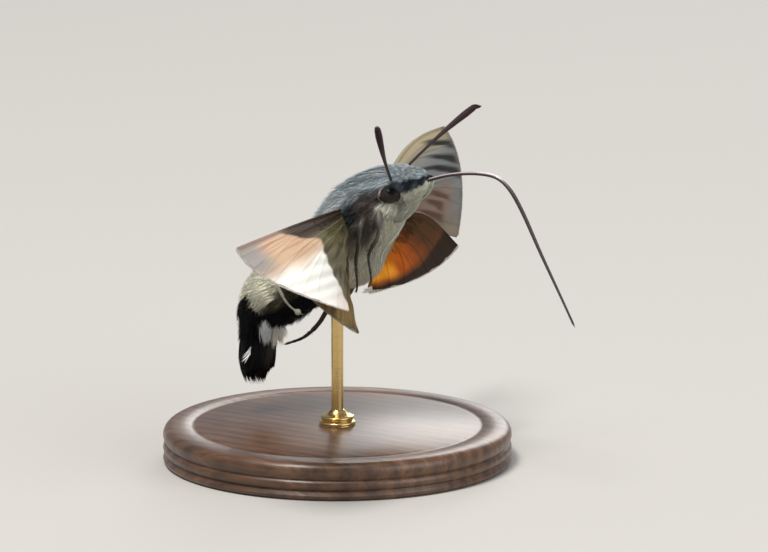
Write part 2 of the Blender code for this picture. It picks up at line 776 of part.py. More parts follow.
def main():
    """Build the moth and its stand."""
    b = Builder()

    head_clear = b.add(
        "cut_head",
        ovoid("cut_head", HEAD_CENTRE, [h + GAP for h in HEAD_HALF], HEAD_PITCH, 28, 14),
    )
    eyes_clear = []
    for side, word in ((1, "left"), (-1, "right")):
        centre = (EYE_CENTRE[0], side * EYE_CENTRE[1], EYE_CENTRE[2])
        ball = (EYE_RADIUS,) * 3
        b.add("eye_" + word, ovoid("eye_" + word, centre, ball, 0.0, 20, 10), "eye")
        wide = (EYE_RADIUS + GAP,) * 3
        eyes_clear.append(b.add("cut_eye_" + word, ovoid("cut_eye", centre, wide, 0.0, 20, 10)))
    thorax_clear = b.add("cut_thorax", body_length("cut_thorax", THORAX_SPAN, 12, GAP, 0.3))
    front_clear = b.add("cut_abdomen", body_length("cut_abdomen", ABDOMEN_FRONT_SPAN, 7, GAP, 0.3))

    head = b.add("head", ovoid("head", HEAD_CENTRE, HEAD_HALF, HEAD_PITCH, 28, 14), "body_fur")
    cut(head, *eyes_clear)
    thorax = b.add("thorax", body_length("thorax", THORAX_SPAN, 12), "body_fur")
    cut(thorax, head_clear, *eyes_clear)
    b.add("abdomen_front", body_length("abdomen_front", ABDOMEN_FRONT_SPAN, 7), "abdomen_fur")
    b.add("abdomen_mid", tufted_length("abdomen_mid", ABDOMEN_MID_SPAN, ABDOMEN_MID_TUFTS), "abdomen_fur")
    b.add("abdomen_rear", tufted_length("abdomen_rear", ABDOMEN_REAR_SPAN, ABDOMEN_REAR_TUFTS), "abdomen_fur")
    b.add("tail_fan", tail_fan("tail_fan"), "tail_scales")

    for side, word in ((1, "left"), (-1, "right")):
        snout = b.add("palp_" + word, palp("palp_" + word, side), "palp_fur")
        cut(snout, head_clear, eyes_clear[0 if side > 0 else 1])

    base = b.add("proboscis_base", tongue("proboscis_base", TONGUE_SPANS[0]), "tongue")
    cut(base, head_clear)
    b.add("proboscis_mid", tongue("proboscis_mid", TONGUE_SPANS[1]), "tongue")
    b.add("proboscis_tip", tongue("proboscis_tip", TONGUE_SPANS[2]), "tongue")

    for word, base, run, bow in (
        ("left", ANTENNA_BASE_LEFT, ANTENNA_RUN_LEFT, ANTENNA_BOW_LEFT),
        ("right", ANTENNA_BASE_RIGHT, ANTENNA_RUN_RIGHT, ANTENNA_BOW_RIGHT),
    ):
        feeler = b.add("antenna_" + word, antenna("antenna_" + word, base, run, bow), "antenna")
        cut(feeler, head_clear)

    wings = {
        "forewing_left": (FOREWING_LEFT_SHAPE, FOREWING_ROOT, FOREWING_LEFT_POSE, 1),
        "forewing_right": (FOREWING_RIGHT_SHAPE, FOREWING_ROOT, FOREWING_RIGHT_POSE, -1),
        "hindwing_left": (HINDWING_LEFT_SHAPE, HINDWING_LEFT_ROOT, HINDWING_LEFT_POSE, 1),
        "hindwing_right": (HINDWING_RIGHT_SHAPE, HINDWING_RIGHT_ROOT, HINDWING_RIGHT_POSE, -1),
    }
    for name, (shape, root, pose, side) in wings.items():
        kind = name.split("_")[0]
        veins = FOREWING_VEINS if kind == "forewing" else HINDWING_VEINS
        blade = b.add(name, wing(name, shape, root, pose, side, veins), kind)
        cut(blade, thorax_clear, solver="MANIFOLD")

    for name, keys, side in (
        ("leg_front_left", LEG_FRONT_LEFT, 1),
        ("leg_front_right", LEG_FRONT_RIGHT, -1),
        ("leg_mid_left", LEG_MID_LEFT, 1),
        ("leg_mid_right", LEG_MID_RIGHT, -1),
        ("leg_hind_right", LEG_HIND_RIGHT, -1),
    ):
        limb = b.add(name, leg(name, leg_run(keys, side)), "leg")
        cut(limb, thorax_clear)
    hanging = smooth_run(np.array(LEG_HIND_LEFT) * MM, 15)
    limb = b.add("leg_hind_left", leg("leg_hind_left", hanging), "leg")
    cut(limb, thorax_clear, front_clear)

    build_stand(b, front_clear)


main()
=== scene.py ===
import math

import bpy
import numpy as np
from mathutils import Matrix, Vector


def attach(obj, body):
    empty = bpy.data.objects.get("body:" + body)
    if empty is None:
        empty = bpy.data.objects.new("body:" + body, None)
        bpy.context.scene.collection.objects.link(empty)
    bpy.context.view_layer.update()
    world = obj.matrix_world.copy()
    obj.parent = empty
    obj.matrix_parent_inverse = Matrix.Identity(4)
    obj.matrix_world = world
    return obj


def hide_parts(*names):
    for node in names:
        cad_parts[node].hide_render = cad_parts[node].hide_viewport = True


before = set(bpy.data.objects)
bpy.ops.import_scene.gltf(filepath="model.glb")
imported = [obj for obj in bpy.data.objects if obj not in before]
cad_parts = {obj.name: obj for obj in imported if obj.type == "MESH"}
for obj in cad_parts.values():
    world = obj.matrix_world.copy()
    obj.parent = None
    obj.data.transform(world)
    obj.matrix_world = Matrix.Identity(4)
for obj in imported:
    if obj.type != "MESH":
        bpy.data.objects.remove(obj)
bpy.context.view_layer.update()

# Skin
# The case of the head, palps, thorax and abdomen: thin dark chitin that shows only between the
# scales. One closed skin, so that head, chest and belly flow into each other without a seam.
MM = 0.001
MOTH_ORIGIN = np.array((3.0, 0.0, 22.6))
NECK = (2.89, 3.67)
# Each row: length from the neck, slope in degrees, half height, half width.
BODY_LINE = np.array((
    (0.0, 49.0, 2.35, 2.35), (2.3, 52.0, 3.30, 3.40), (4.3, 52.0, 3.80, 3.85), (6.8, 47.0, 3.75, 3.75),
    (9.0, 41.0, 3.40, 3.40), (11.2, 36.0, 3.15, 3.15), (13.5, 31.0, 3.05, 3.10), (15.7, 31.0, 2.95, 3.05),
    (17.8, 46.0, 2.65, 2.85), (19.5, 71.0, 2.15, 2.50), (21.2, 86.0, 1.80, 2.20), (22.9, 89.0, 1.74, 2.30),
    (24.7, 92.0, 1.45, 2.35), (26.5, 94.0, 0.70, 1.90),
))
BODY_LENGTH = BODY_LINE[-1, 0]
BODY_GIRTH = 3.3
CHEST_FLAT = 0.24
THIGH_SWELL = 0.12
HEAD_CENTRE = np.array((3.71, 0.0, 3.84))
HEAD_PITCH = math.radians(22)
HEAD_HALF = 1.93
SNOUT_LENGTH = 3.0
# Root and tip ahead, aside and above the head's centre, then half width and height at each.
PALP = ((0.35, 0.80, -0.98), (3.30, 0.36, -0.42), (0.60, 1.02), (0.18, 0.24))
BROW = ((0.60, 0.0, 0.50), (3.12, 0.0, -0.12), (1.10, 0.92), (0.22, 0.20))
THROAT = ((-1.70, 0.0, -2.60), (2.30, 0.0, -0.75), (1.00, 0.70), (0.30, 0.15))
SKIN_DEPTH = 0.42
FAN_CORE_DEPTH = 0.55
HEAD_SKIN_DEPTH = 0.28
SNOUT_SKIN_DEPTH = 0.12
SKIN_VOXEL = 0.13
SKIN_SHADE = 0.45
LINE_STEP = 12
FLESH_NODES = (
    "head", "thorax", "abdomen_front", "abdomen_mid", "abdomen_rear", "tail_fan", "palp_left", "palp_right"
)

BLACK = np.array((0.0036, 0.0036, 0.0052))
BLUE_BLACK = np.array((0.028, 0.036, 0.047))
SLATE = np.array((0.300, 0.370, 0.410))
TEAL_GREY = np.array((0.600, 0.735, 0.800))
SILVER = np.array((0.93, 0.97, 0.97))
DUSTY = np.array((0.56, 0.50, 0.47))
CHEEK_BROWN = np.array((0.185, 0.150, 0.142))
CHEST_WHITE = np.array((0.70, 0.70, 0.58))
CHEST_GREY = np.array((0.57, 0.58, 0.48))
OLIVE = np.array((0.085, 0.080, 0.050))
GREY_BROWN = np.array((0.150, 0.140, 0.115))
CREAM = np.array((0.98, 0.97, 0.80))
GREY_TUFT = np.array((0.90, 0.98, 1.00))
# Degrees up the side, and the length along the body where the black rear starts there.
REAR_BLACK = np.array((
    (0.0, 16.6), (40.0, 16.9), (60.0, 18.1), (90.0, 18.3), (105.0, 17.4), (130.0, 18.3), (180.0, 18.7),
))


def ramp(value, low, high):
    """Smooth step: 0 below low, 1 above high, and 3t^2 - 2t^3 between."""
    t = np.clip((np.asarray(value) - low) / (high - low), 0.0, 1.0)
    return t * t * (3 - 2 * t)


def between(value, start, full, falling, end):
    """Smooth step up from start to full, and down again from falling to end."""
    return ramp(value, start, full) * (1 - ramp(value, falling, end))


def bell(value, middle, width):
    """Bell curve: exp of minus the square of the distance from the middle over the width."""
    return np.exp(-(((value - middle) / width) ** 2))


def smooth_keys(arcs, values, at):
    """Cubic through the keys, each slope the one of the parabola through the keys beside it."""
    slopes = np.gradient(values, arcs)
    left = np.clip(np.searchsorted(arcs, at) - 1, 0, len(arcs) - 2)
    step = arcs[left + 1] - arcs[left]
    t = (at - arcs[left]) / step
    return (
        (1 + 2 * t) * (1 - t) ** 2 * values[left]
        + t * (1 - t) ** 2 * step * slopes[left]
        + t * t * (3 - 2 * t) * values[left + 1]
        + t * t * (t - 1) * step * slopes[left + 1]
    )


def traced_line(keys, start, forward):
    """Arc lengths, x, z and slope of a plane line: its slope is keyed, x and z are its running sum."""
    arcs = np.linspace(keys[0, 0], keys[-1, 0], 1200)
    slope = np.radians(smooth_keys(keys[:, 0], keys[:, 1], arcs))
    middle = (slope[1:] + slope[:-1]) / 2
    step = forward * (arcs[1] - arcs[0])
    x = start[0] + step * np.concatenate(([0.0], np.cumsum(np.cos(middle))))
    z = start[1] + step * np.concatenate(([0.0], np.cumsum(np.sin(middle))))
    return arcs, x, z, slope


body_arcs, body_x, body_z, body_slope = traced_line(BODY_LINE, NECK, -1)


def body_surface(arc, around, height=0.0):
    """Ellipse across the body line: around runs from the belly to the left side, height outwards.
    Beneath, its half height is less under the chest and more where the hind thighs sit, by
    shares of the cosine of around.
    """
    arc, around = np.broadcast_arrays(arc, around)
    slope = np.interp(arc, body_arcs, body_slope)
    half_height = smooth_keys(BODY_LINE[:, 0], BODY_LINE[:, 2], arc) + height
    half_width = smooth_keys(BODY_LINE[:, 0], BODY_LINE[:, 3], arc) + height
    flat = CHEST_FLAT * between(arc, 0.6, 2.0, 5.2, 7.4) - THIGH_SWELL * bell(arc, 8.4, 1.3)
    back = -np.cos(around) * half_height * (1 - flat * np.clip(np.cos(around), 0, 1))
    x = np.interp(arc, body_arcs, body_x) - back * np.sin(slope)
    z = np.interp(arc, body_arcs, body_z) + back * np.cos(slope)
    return np.stack((x, half_width * np.sin(around), z), axis=-1)


def head_place(ahead, aside, above):
    """Head centre plus steps along the pitched head's own forward, left and up directions."""
    ahead, aside, above = np.broadcast_arrays(ahead, aside, above)
    x = ahead * math.cos(HEAD_PITCH) - above * math.sin(HEAD_PITCH)
    z = ahead * math.sin(HEAD_PITCH) + above * math.cos(HEAD_PITCH)
    return HEAD_CENTRE + np.stack((x, aside, z), axis=-1)


def head_surface(back, around, height=0.0):
    """Sphere whose pole is the face: back is the length from the pole, around starts at the chin."""
    radius = HEAD_HALF + np.asarray(height)
    polar = np.asarray(back) / HEAD_HALF
    out = radius * np.sin(polar)
    return head_place(radius * np.cos(polar), out * np.sin(around), -out * np.cos(around))


def snout_surface(form, side):
    """Surface of a palp, the brow or the throat: an ellipse that shrinks along a line from root to
    tip, its height off the line's chord moving with the square of the length.
    """
    root, tip, half_root, half_tip = form

    def place(along, around, height=0.0):
        t = np.asarray(along) / SNOUT_LENGTH
        shrink = np.sqrt(np.clip(1 - t ** 3, 0.0, 1.0))
        half_width = half_tip[0] + (half_root[0] - half_tip[0]) * shrink + height
        half_height = half_tip[1] + (half_root[1] - half_tip[1]) * shrink + height
        return head_place(
            root[0] + (tip[0] - root[0]) * t,
            side * (root[1] + (tip[1] - root[1]) * t) + half_width * np.sin(around),
            root[2] + (tip[2] - root[2]) * t * t - half_height * np.cos(around),
        )

    return place


def ring_angles(count):
    """Angles once round, as one row."""
    return np.linspace(0, 2 * math.pi, count, endpoint=False)[None, :]


def grid_faces(rows, columns, closed=True):
    """Four corners for each cell of a grid of points, joined round where the columns close."""
    row, column = np.mgrid[0 : rows - 1, 0 : columns if closed else columns - 1]
    after = (column + 1) % columns
    corners = (
        row * columns + column,
        row * columns + after,
        (row + 1) * columns + after,
        (row + 1) * columns + column,
    )
    return np.stack(corners, axis=-1).reshape(-1, 4)


def closed_rings(rings):
    """Points and faces over rings of points, each end closed by a fan round its middle."""
    rows, columns = rings.shape[:2]
    points = np.concatenate((rings.reshape(-1, 3), [rings[0].mean(0)], [rings[-1].mean(0)]))
    ring = np.arange(columns)
    after = (ring + 1) % columns
    first = np.stack((after, ring, np.full(columns, rows * columns)), axis=-1)
    last = np.stack((ring, after, ring * 0), axis=-1) + (rows - 1) * columns
    last[:, 2] = rows * columns + 1
    return points, [grid_faces(rows, columns), first, last]


def joined(shapes):
    """Several pairs of points and face arrays as one pair, with the corner numbers moved on."""
    points = []
    faces = []
    count = 0
    for shape_points, shape_faces in shapes:
        points.append(shape_points)
        faces += [group + count for group in shape_faces]
        count += len(shape_points)
    return np.concatenate(points), faces


def new_mesh(name, points, faces):
    """Mesh from points and arrays of faces, turned outwards where its signed volume is negative."""
    volume = 0.0
    for group in faces:
        for k in range(1, group.shape[1] - 1):
            turn = np.cross(points[group[:, k]], points[group[:, k + 1]])
            volume += np.einsum("ij,ij->", points[group[:, 0]], turn)
    if volume < 0:
        faces = [group[:, ::-1] for group in faces]
    corners = np.concatenate([group.ravel() for group in faces]).astype(np.int32)
    sizes = np.concatenate([np.full(len(group), group.shape[1]) for group in faces])
    mesh = bpy.data.meshes.new(name)
    mesh.vertices.add(len(points))
    mesh.vertices.foreach_set("co", points.astype(np.float32).ravel())
    mesh.loops.add(len(corners))
    mesh.loops.foreach_set("vertex_index", corners)
    mesh.polygons.add(len(sizes))
    starts = np.concatenate(([0], np.cumsum(sizes)[:-1])).astype(np.int32)
    mesh.polygons.foreach_set("loop_start", starts)
    mesh.update(calc_edges=True)
    mesh.shade_smooth()
    return mesh


def paint(mesh, colours):
    """Store a colour for each point, which the material multiplies by its own fine grain."""
    layer = mesh.color_attributes.new("marking", "FLOAT_COLOR", "POINT")
    rgba = np.concatenate((colours, np.ones((len(colours), 1))), axis=1)
    layer.data.foreach_set("color", rgba.astype(np.float32).ravel())
    mesh.attributes.active_color_name = "marking"


def new_piece(name, mesh, material, slot, *nodes):
    """Object of the moth or its stand, riding on the one body, with its finish and its nodes."""
    obj = bpy.data.objects.new(name, mesh)
    bpy.context.scene.collection.objects.link(obj)
    mesh.materials.append(material)
    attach(obj, "root")
    if nodes:
        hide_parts(*nodes)


def new_material(name, **sockets):
    """Principled material with its even sockets set, as material, node tree and shader."""
    material = bpy.data.materials.new(name)
    material.use_nodes = True
    shader = material.node_tree.nodes["Principled BSDF"]
    for socket, value in sockets.items():
        shader.inputs[socket.replace("_", " ")].default_value = value
    return material, material.node_tree, shader


def add_node(tree, kind, inputs=None, **settings):
    """Shader node with its settings, and its inputs linked or set by name or number."""
    node = tree.nodes.new("ShaderNode" + kind)
    for key, value in settings.items():
        setattr(node, key, value)
    for key, value in (inputs or {}).items():
        if isinstance(value, bpy.types.NodeSocket):
            tree.links.new(value, node.inputs[key])
        else:
            node.inputs[key].default_value = value
    return node


def tinted(tree, shader, grain, low, high):
    """Base colour: the stored marking times a grey that the grain moves between low and high."""
    stored = add_node(tree, "Attribute", attribute_name="marking")
    grey = add_node(tree, "MapRange", {0: grain, 3: low, 4: high})
    product = add_node(
        tree,
        "Mix",
        {0: 1.0, 6: stored.outputs["Color"], 7: grey.outputs[0]},
        data_type="RGBA",
        blend_type="MULTIPLY",
    )
    tree.links.new(product.outputs[2], shader.inputs["Base Color"])


def bumped(tree, shader, height, depth):
    """Bump of the given depth in metres from a height between 0 and 1."""
    bump = add_node(tree, "Bump", {"Strength": 1.0, "Distance": depth, "Height": height})
    tree.links.new(bump.outputs[0], shader.inputs["Normal"])


def grained_finish(name, scale, detail, low, high, depth=0.0, **sockets):
    """Material of the stored marking times a fine grain, which also roughens it to a depth in metres."""
    material, tree, shader = new_material(name, **sockets)
    place = add_node(tree, "TexCoord").outputs["Object"]
    grain = add_node(tree, "TexNoise", {"Vector": place, "Scale": scale, "Detail": detail})
    tinted(tree, shader, grain.outputs[0], low, high)
    if depth:
        bumped(tree, shader, grain.outputs[0], depth)
    return material


def blend(first, second, weight):
    """Straight mix of two colours or arrays of colours by an array of weights."""
    weight = np.asarray(weight)[..., None]
    return np.asarray(first) * (1 - weight) + np.asarray(second) * weight


def layered(colours, *layers):
    """Colours with those of each layer mixed over them in turn, by the layer's weight."""
    for colour, weight in layers:
        colours = blend(colours, colour, weight)
    return colours


def waves(u, v, pitch, seed):
    """Smooth unevenness near -1 to 1: a third of the sum of six sines at seeded angles, pitch apart."""
    draw = np.random.default_rng(seed)
    angle = draw.uniform(0, math.pi, 6)
    phase = draw.uniform(0, 2 * math.pi, 6)
    size = draw.uniform(0.7, 1.5, 6)
    total = 0.0
    for a, p, s in zip(angle, phase, size):
        total = total + np.sin((u * math.cos(a) + v * math.sin(a)) * 2 * math.pi * s / pitch + p)
    return total / 3.0


def up_the_side(around):
    """Degrees up from the middle of the belly, the same on both sides."""
    return np.degrees(np.abs(np.arctan2(np.sin(around), np.cos(around))))


def body_marking(arc, around):
    """Colours by length along the body and degrees up its sides from the belly: grey back with painted
    highlights on collar and shoulder, white chest with painted shade in the hollows behind the legs
    and under the wing base, olive flanks darkened by painted shade, cream then black rear with pale tufts.
    """
    up = up_the_side(around)
    width = BODY_GIRTH * np.radians(up)
    uneven = waves(arc, width, 1.9, 1)
    streak = waves(arc * 0.35, width, 0.55, 2)
    patch = waves(arc, width, 3.4, 6)
    back = layered(
        SLATE * 0.8,
        (TEAL_GREY, ramp(streak + 0.9 * patch, -0.8, 0.6)),
        (DUSTY, 0.45 * ramp(patch - 0.3 * streak, 0.2, 1.0)),
        (SILVER, 0.9 * ramp(streak + 0.8 * uneven, 0.6, 1.2)),
        # Painted highlights: a pale line on the collar and a pale patch on the shoulder, pale hair with its
        # sunlit sparkle painted in.
        (SILVER, 0.9 * bell(arc, 4.0, 1.1) * bell(up, 120, 10)),
        (SILVER * 1.25, 0.9 * bell(arc, 2.05, 0.7) * bell(up, 125, 3.5)),
    )
    armpit = blend(OLIVE * 5.5, OLIVE * 3.0, ramp(streak, -0.4, 0.8))
    thorax = layered(
        CHEST_WHITE * 1.2,
        (CHEST_GREY, 0.8 * ramp(up + 6 * uneven, 46, 74)),
        # Painted shade in the hollow behind the front legs, partly the grey-brown scales of the thighs.
        (CHEEK_BROWN * 0.5, 0.9 * between(up, 34, 46, 70, 82) * between(arc, 0.8, 1.5, 3.6, 5.2)),
        (back, ramp(up + 5 * uneven, 88, 108)),
        # Dark band under the wing base: the side's own dark scales, deepened by painted shade from the wing
        # base.
        (BLUE_BLACK, 0.97 * between(up, 74, 86, 104, 116) * between(arc, 0.8, 1.8, 4.2, 5.8)),
        (armpit, 0.9 * between(up, 56, 70, 100, 114) * ramp(arc, 4.2, 5.6)),
        (CHEEK_BROWN * 0.8, ramp(up + 6 * arc, 66, 80) * (1 - ramp(up, 98, 112)) * (1 - ramp(arc, 1.4, 2.6))),
    )
    # Olive-grey flank, darkened by painted shade from the wings above it.
    flank = blend(OLIVE * 1.3, OLIVE * 0.6, ramp(uneven, -0.6, 0.8))
    loin = blend(GREY_BROWN, SLATE, ramp(streak, -0.2, 0.8))
    pale = blend(CREAM, CREAM * (0.86, 0.86, 0.78), ramp(streak, -0.6, 0.9))
    edge = arc + 0.35 * uneven
    cream = ramp(edge + 0.02 * (up - 90), 13.4, 14.6) * ramp(up + 8 * uneven, 62, 84)
    black_edge = np.interp(up, REAR_BLACK[:, 0], REAR_BLACK[:, 1])
    abdomen = layered(
        flank,
        (loin, ramp(up, 104, 126)),
        (pale, cream * (1 - 0.6 * ramp(up, 152, 172))),
        (OLIVE * 0.45, 0.85 * bell(edge, 15.1, 0.35) * (1 - ramp(up, 78, 96))),
        (BLACK * 1.6, (1 - ramp(up + 4 * uneven, 50, 66)) * ramp(arc, 8.6, 9.6)),
        (BLACK, ramp(edge - black_edge, -0.15, 0.25)),
        (GREY_TUFT, ramp(edge, 18.7, 19.3) * bell(up + 8 * (arc - 18.8), 50, 11)),
        (CREAM, ramp(edge, 19.2, 19.9) * (1 - ramp(up, 10, 19)) * (1 - ramp(arc, 21.6, 22.0))),
        (BLACK, ramp(arc, 21.7, 22.1)),
    )
    return blend(thorax, abdomen, ramp(arc + 0.3 * uneven, 8.3, 9.3))


def head_marking(back, around):
    """Colours by length back from the face and degrees up from the chin: grey crown over a dark
    band that runs brown behind the eye, white below.
    """
    up = up_the_side(around)
    streak = waves(back, around * 1.6, 0.7, 3)
    patch = waves(back, around * 1.9, 2.2, 7)
    crown = layered(
        SLATE * 0.8,
        (TEAL_GREY * 0.8, ramp(streak, -0.8, 0.6)),
        (DUSTY, 0.55 * ramp(patch, 0.0, 0.8)),
        (SILVER * 0.9, 0.7 * ramp(streak - 0.4 * patch, 0.5, 1.2)),
    )
    band = layered(
        BLUE_BLACK,
        (SLATE * 0.45, 0.7 * ramp(patch + 0.5 * streak, 0.1, 0.9)),
        (CHEEK_BROWN, ramp(back, 2.3, 3.1)),
        (crown, ramp(up + 4 * streak, 94, 106)),
    )
    lower_edge = np.interp(back, (1.2, 2.4), (46.0, 66.0))
    return blend(CHEST_WHITE * 0.92, band, ramp(up + 4 * streak, lower_edge, lower_edge + 12))


def palp_marking(along, around):
    """Pale beneath, with a blue-black band along the side and the top."""
    up = up_the_side(around)
    streak = waves(along, around, 0.6, 4)
    upper = layered(
        BLUE_BLACK,
        (SLATE * 0.4, 0.7 * ramp(waves(along, around, 1.5, 10), 0.1, 0.8)),
        (SLATE, ramp(up + 8 * streak, 150, 170)),
    )
    return blend(CHEST_WHITE * 0.97, upper, ramp(up + 7 * streak + 5 * (along - 1.5), 76, 92))


def brow_marking(along, around):
    """Grey above with paler streaks, and a blue-black lower edge that meets the palps' band."""
    streak = waves(along, around, 0.6, 5)
    top = layered(
        TEAL_GREY * 0.8,
        (SLATE * 0.8, ramp(streak, -0.3, 0.8)),
        (DUSTY, 0.5 * ramp(waves(along, around, 1.8, 8), 0.0, 0.8)),
        (SILVER, 0.6 * ramp(-streak, 0.4, 1.1)),
    )
    return blend(BLUE_BLACK, top, ramp(up_the_side(around) + 8 * streak, 66, 84))


def throat_marking(along, around):
    """White-grey with finer grey streaks."""
    streak = waves(along, around, 0.6, 9)
    return blend(CHEST_WHITE, CHEST_GREY * 1.3, 0.5 * ramp(streak, -0.2, 1.0))


def skin_shapes():
    """Body, head, palps, brow and throat as closed shapes, each at its depth below the coat's tips."""
    around = ring_angles(48)
    arcs = np.linspace(0.3, 24.2, 90)[:, None]
    depth = SKIN_DEPTH + FAN_CORE_DEPTH * ramp(arcs, 20.6, 23.6)
    back = np.linspace(0.02, math.pi * HEAD_HALF - 0.02, 40)[:, None]
    along = np.linspace(0.0, SNOUT_LENGTH * 0.97, 24)[:, None]
    shapes = [body_surface(arcs, around, -depth), head_surface(back, around, -HEAD_SKIN_DEPTH)]
    for form, side in ((PALP, 1), (PALP, -1), (BROW, 0), (THROAT, 0)):
        shapes.append(snout_surface(form, side)(along, around, -SNOUT_SKIN_DEPTH))
    return [closed_rings(shape) for shape in shapes]


def one_skin(name, shapes, voxel):
    """Closed shapes run together by a voxel remesh, worked in mm, as one mesh."""
    points, faces = joined(shapes)
    rough = bpy.data.objects.new(name + "_rough", new_mesh(name + "_rough", points, faces))
    bpy.context.scene.collection.objects.link(rough)
    remesh = rough.modifiers.new("run_together", "REMESH")
    remesh.mode = "VOXEL"
    remesh.voxel_size = voxel
    relax = rough.modifiers.new("relax", "SMOOTH")
    relax.iterations = 6
    depsgraph = bpy.context.evaluated_depsgraph_get()
    mesh = bpy.data.meshes.new_from_object(rough.evaluated_get(depsgraph))
    bpy.data.objects.remove(rough, do_unlink=True)
    mesh.name = name
    mesh.shade_smooth()
    return mesh


def skin_colours(points):
    """Markings of the nearest part: palps ahead of the face, the head's sphere, or the body."""
    every = slice(None, None, LINE_STEP)
    cos_slope, sin_slope = np.cos(body_slope[every]), np.sin(body_slope[every])
    ahead = points[:, None, 0] - body_x[None, every]
    above = points[:, None, 2] - body_z[None, every]
    along_line = np.abs(ahead * cos_slope + above * sin_slope)
    nearest = np.argmin(along_line + 0.02 * np.hypot(ahead, above), axis=1)
    rows = np.arange(len(points))
    rise = above[rows, nearest] * cos_slope[nearest] - ahead[rows, nearest] * sin_slope[nearest]
    colours = body_marking(body_arcs[every][nearest], np.arctan2(points[:, 1], -rise))
    offset = points - HEAD_CENTRE
    reach = np.linalg.norm(offset, axis=1)
    front = offset[:, 0] * math.cos(HEAD_PITCH) + offset[:, 2] * math.sin(HEAD_PITCH)
    top = offset[:, 2] * math.cos(HEAD_PITCH) - offset[:, 0] * math.sin(HEAD_PITCH)
    back = HEAD_HALF * np.arccos(np.clip(front / reach, -1, 1))
    head = head_marking(back, np.arctan2(points[:, 1], -top))
    snout = layered(
        CHEST_WHITE + 0 * points,
        (BLUE_BLACK, ramp(top, -0.75, -0.55)),
        (TEAL_GREY, ramp(top, -0.15, 0.1)),
    )
    return layered(colours, (head, 1 - ramp(reach, 1.9, 2.2)), (snout, ramp(front, 1.5, 1.8)))


skin_mesh = one_skin("skin", skin_shapes(), SKIN_VOXEL)
skin_points = np.empty(len(skin_mesh.vertices) * 3, np.float32)
skin_mesh.vertices.foreach_get("co", skin_points)
skin_points = skin_points.reshape(-1, 3).astype(float)
paint(skin_mesh, skin_colours(skin_points) * SKIN_SHADE)
skin_mesh.vertices.foreach_set("co", ((skin_points + MOTH_ORIGIN) * MM).astype(np.float32).ravel())
skin_mesh.update()
skin_finish = grained_finish("skin_finish", 9000.0, 3.0, 0.6, 1.3, 0.00004, Roughness=0.7)
new_piece("skin", skin_mesh, skin_finish, "body_fur", *FLESH_NODES)

# Coat of the head, thorax and abdomen
# Hair-like scales that lie backwards over the skin like thatch, long and loose on the thorax,
# short and close on the face. Each tuft is a thin three-sided spike, sunk in the skin.
TUFT_PATCH = 0.003
EYE_CENTRE = np.array((3.62, 1.65, 3.27))
EYE_RADIUS = 1.02
EYE_SHAPE = np.array((1.12, 1.0, 0.82))
EYE_CLEAR = 0.02
EYE_OVERHANG = 0.12
BELLY_TUCK = 0.30
TIP_AHEAD = 0.3
RUFF_START = 2.75
RUFF_END = 1.7
RUFF_BULGE = 0.22
RUFF_EDGE = 1.55
LID_TILT = math.radians(100)
RIM_PINK = (0.74, 0.62, 0.59)
BACK_REACH = (1.5, 2 * math.pi - 1.5)
CHEST_REACH = (-1.55, 1.55)
coat_finish = grained_finish("coat_finish", 14000.0, 2.0, 0.72, 1.22, Roughness=0.55, Specular_IOR_Level=0.12)


def spread(count, seed):
    """Even scatter in the unit square: steps of two irrational fractions, with a little jitter."""
    draw = np.random.default_rng(seed)
    order = np.arange(count)
    u = (order * 0.7548776662 + draw.uniform(0, 0.004, count)) % 1.0
    v = (order * 0.5698402910 + draw.uniform(0, 0.004, count)) % 1.0
    return u, v, draw


def tufts(surface, u, v, length, half_width, thick, lift, sway=0.0, sink=0.5, stations=4, rise=0.8):
    """Spikes that follow a surface. The middle line runs from u to u + length and climbs from
    -sink to lift as t to the power rise; the flat side, half_width wide, thins as 1 - t^2.
    """
    count = len(u)
    t = np.linspace(0, 1, stations)[None, :]
    length, half_width, thick, lift, sway = (
        np.broadcast_to(x, count)[:, None] for x in (length, half_width, thick, lift, sway)
    )
    along = u[:, None] + length * t
    turn = v[:, None] + sway * t ** 1.5
    height = -sink + (lift + sink) * t ** rise
    middle = surface(along, turn, height)
    out = surface(along, turn, height + 0.05) - middle
    out = out / np.linalg.norm(out, axis=-1, keepdims=True)
    line = np.gradient(middle, axis=1)
    aside = np.cross(out, line)
    aside = aside / np.linalg.norm(aside, axis=-1, keepdims=True)
    thin = (1 - t ** 2) * 0.96 + 0.04
    wide = (half_width * thin)[..., None] * aside
    ridge = (thick * thin)[..., None] * out
    rings = np.stack((middle + wide, middle + ridge, middle - wide), axis=2)[:, :-1]
    points = np.concatenate((rings.reshape(count, -1, 3), middle[:, -1:]), axis=1)
    side = np.array([-0.5, 0.0, 0.5])[None, :] * np.ones((stations - 1, 1))
    level = (t[0, :-1, None] - 0.5) * np.ones((1, 3))
    patch = np.concatenate((np.stack((side, level), -1).reshape(-1, 2), [[0.0, 0.5]]))
    return points, patch * TUFT_PATCH, np.broadcast_to(t, middle.shape[:2])


def tuft_faces(count, stations):
    """Sides, tip and root of every spike, as one array of quads and one of triangles."""
    size = (stations - 1) * 3 + 1
    ring = np.arange(3)
    after = (ring + 1) % 3
    quads = [
        np.stack((s * 3 + ring, s * 3 + after, s * 3 + 3 + after, s * 3 + 3 + ring), -1)
        for s in range(stations - 2)
    ]
    last = (stations - 2) * 3
    tips = np.stack((last + ring, last + after, ring * 0 + size - 1), -1)
    tips = np.concatenate((tips, [[2, 1, 0]]))
    start = (np.arange(count) * size)[:, None, None]
    quads = (np.concatenate(quads)[None] + start).reshape(-1, 4)
    return [quads, (tips[None] + start).reshape(-1, 3)]


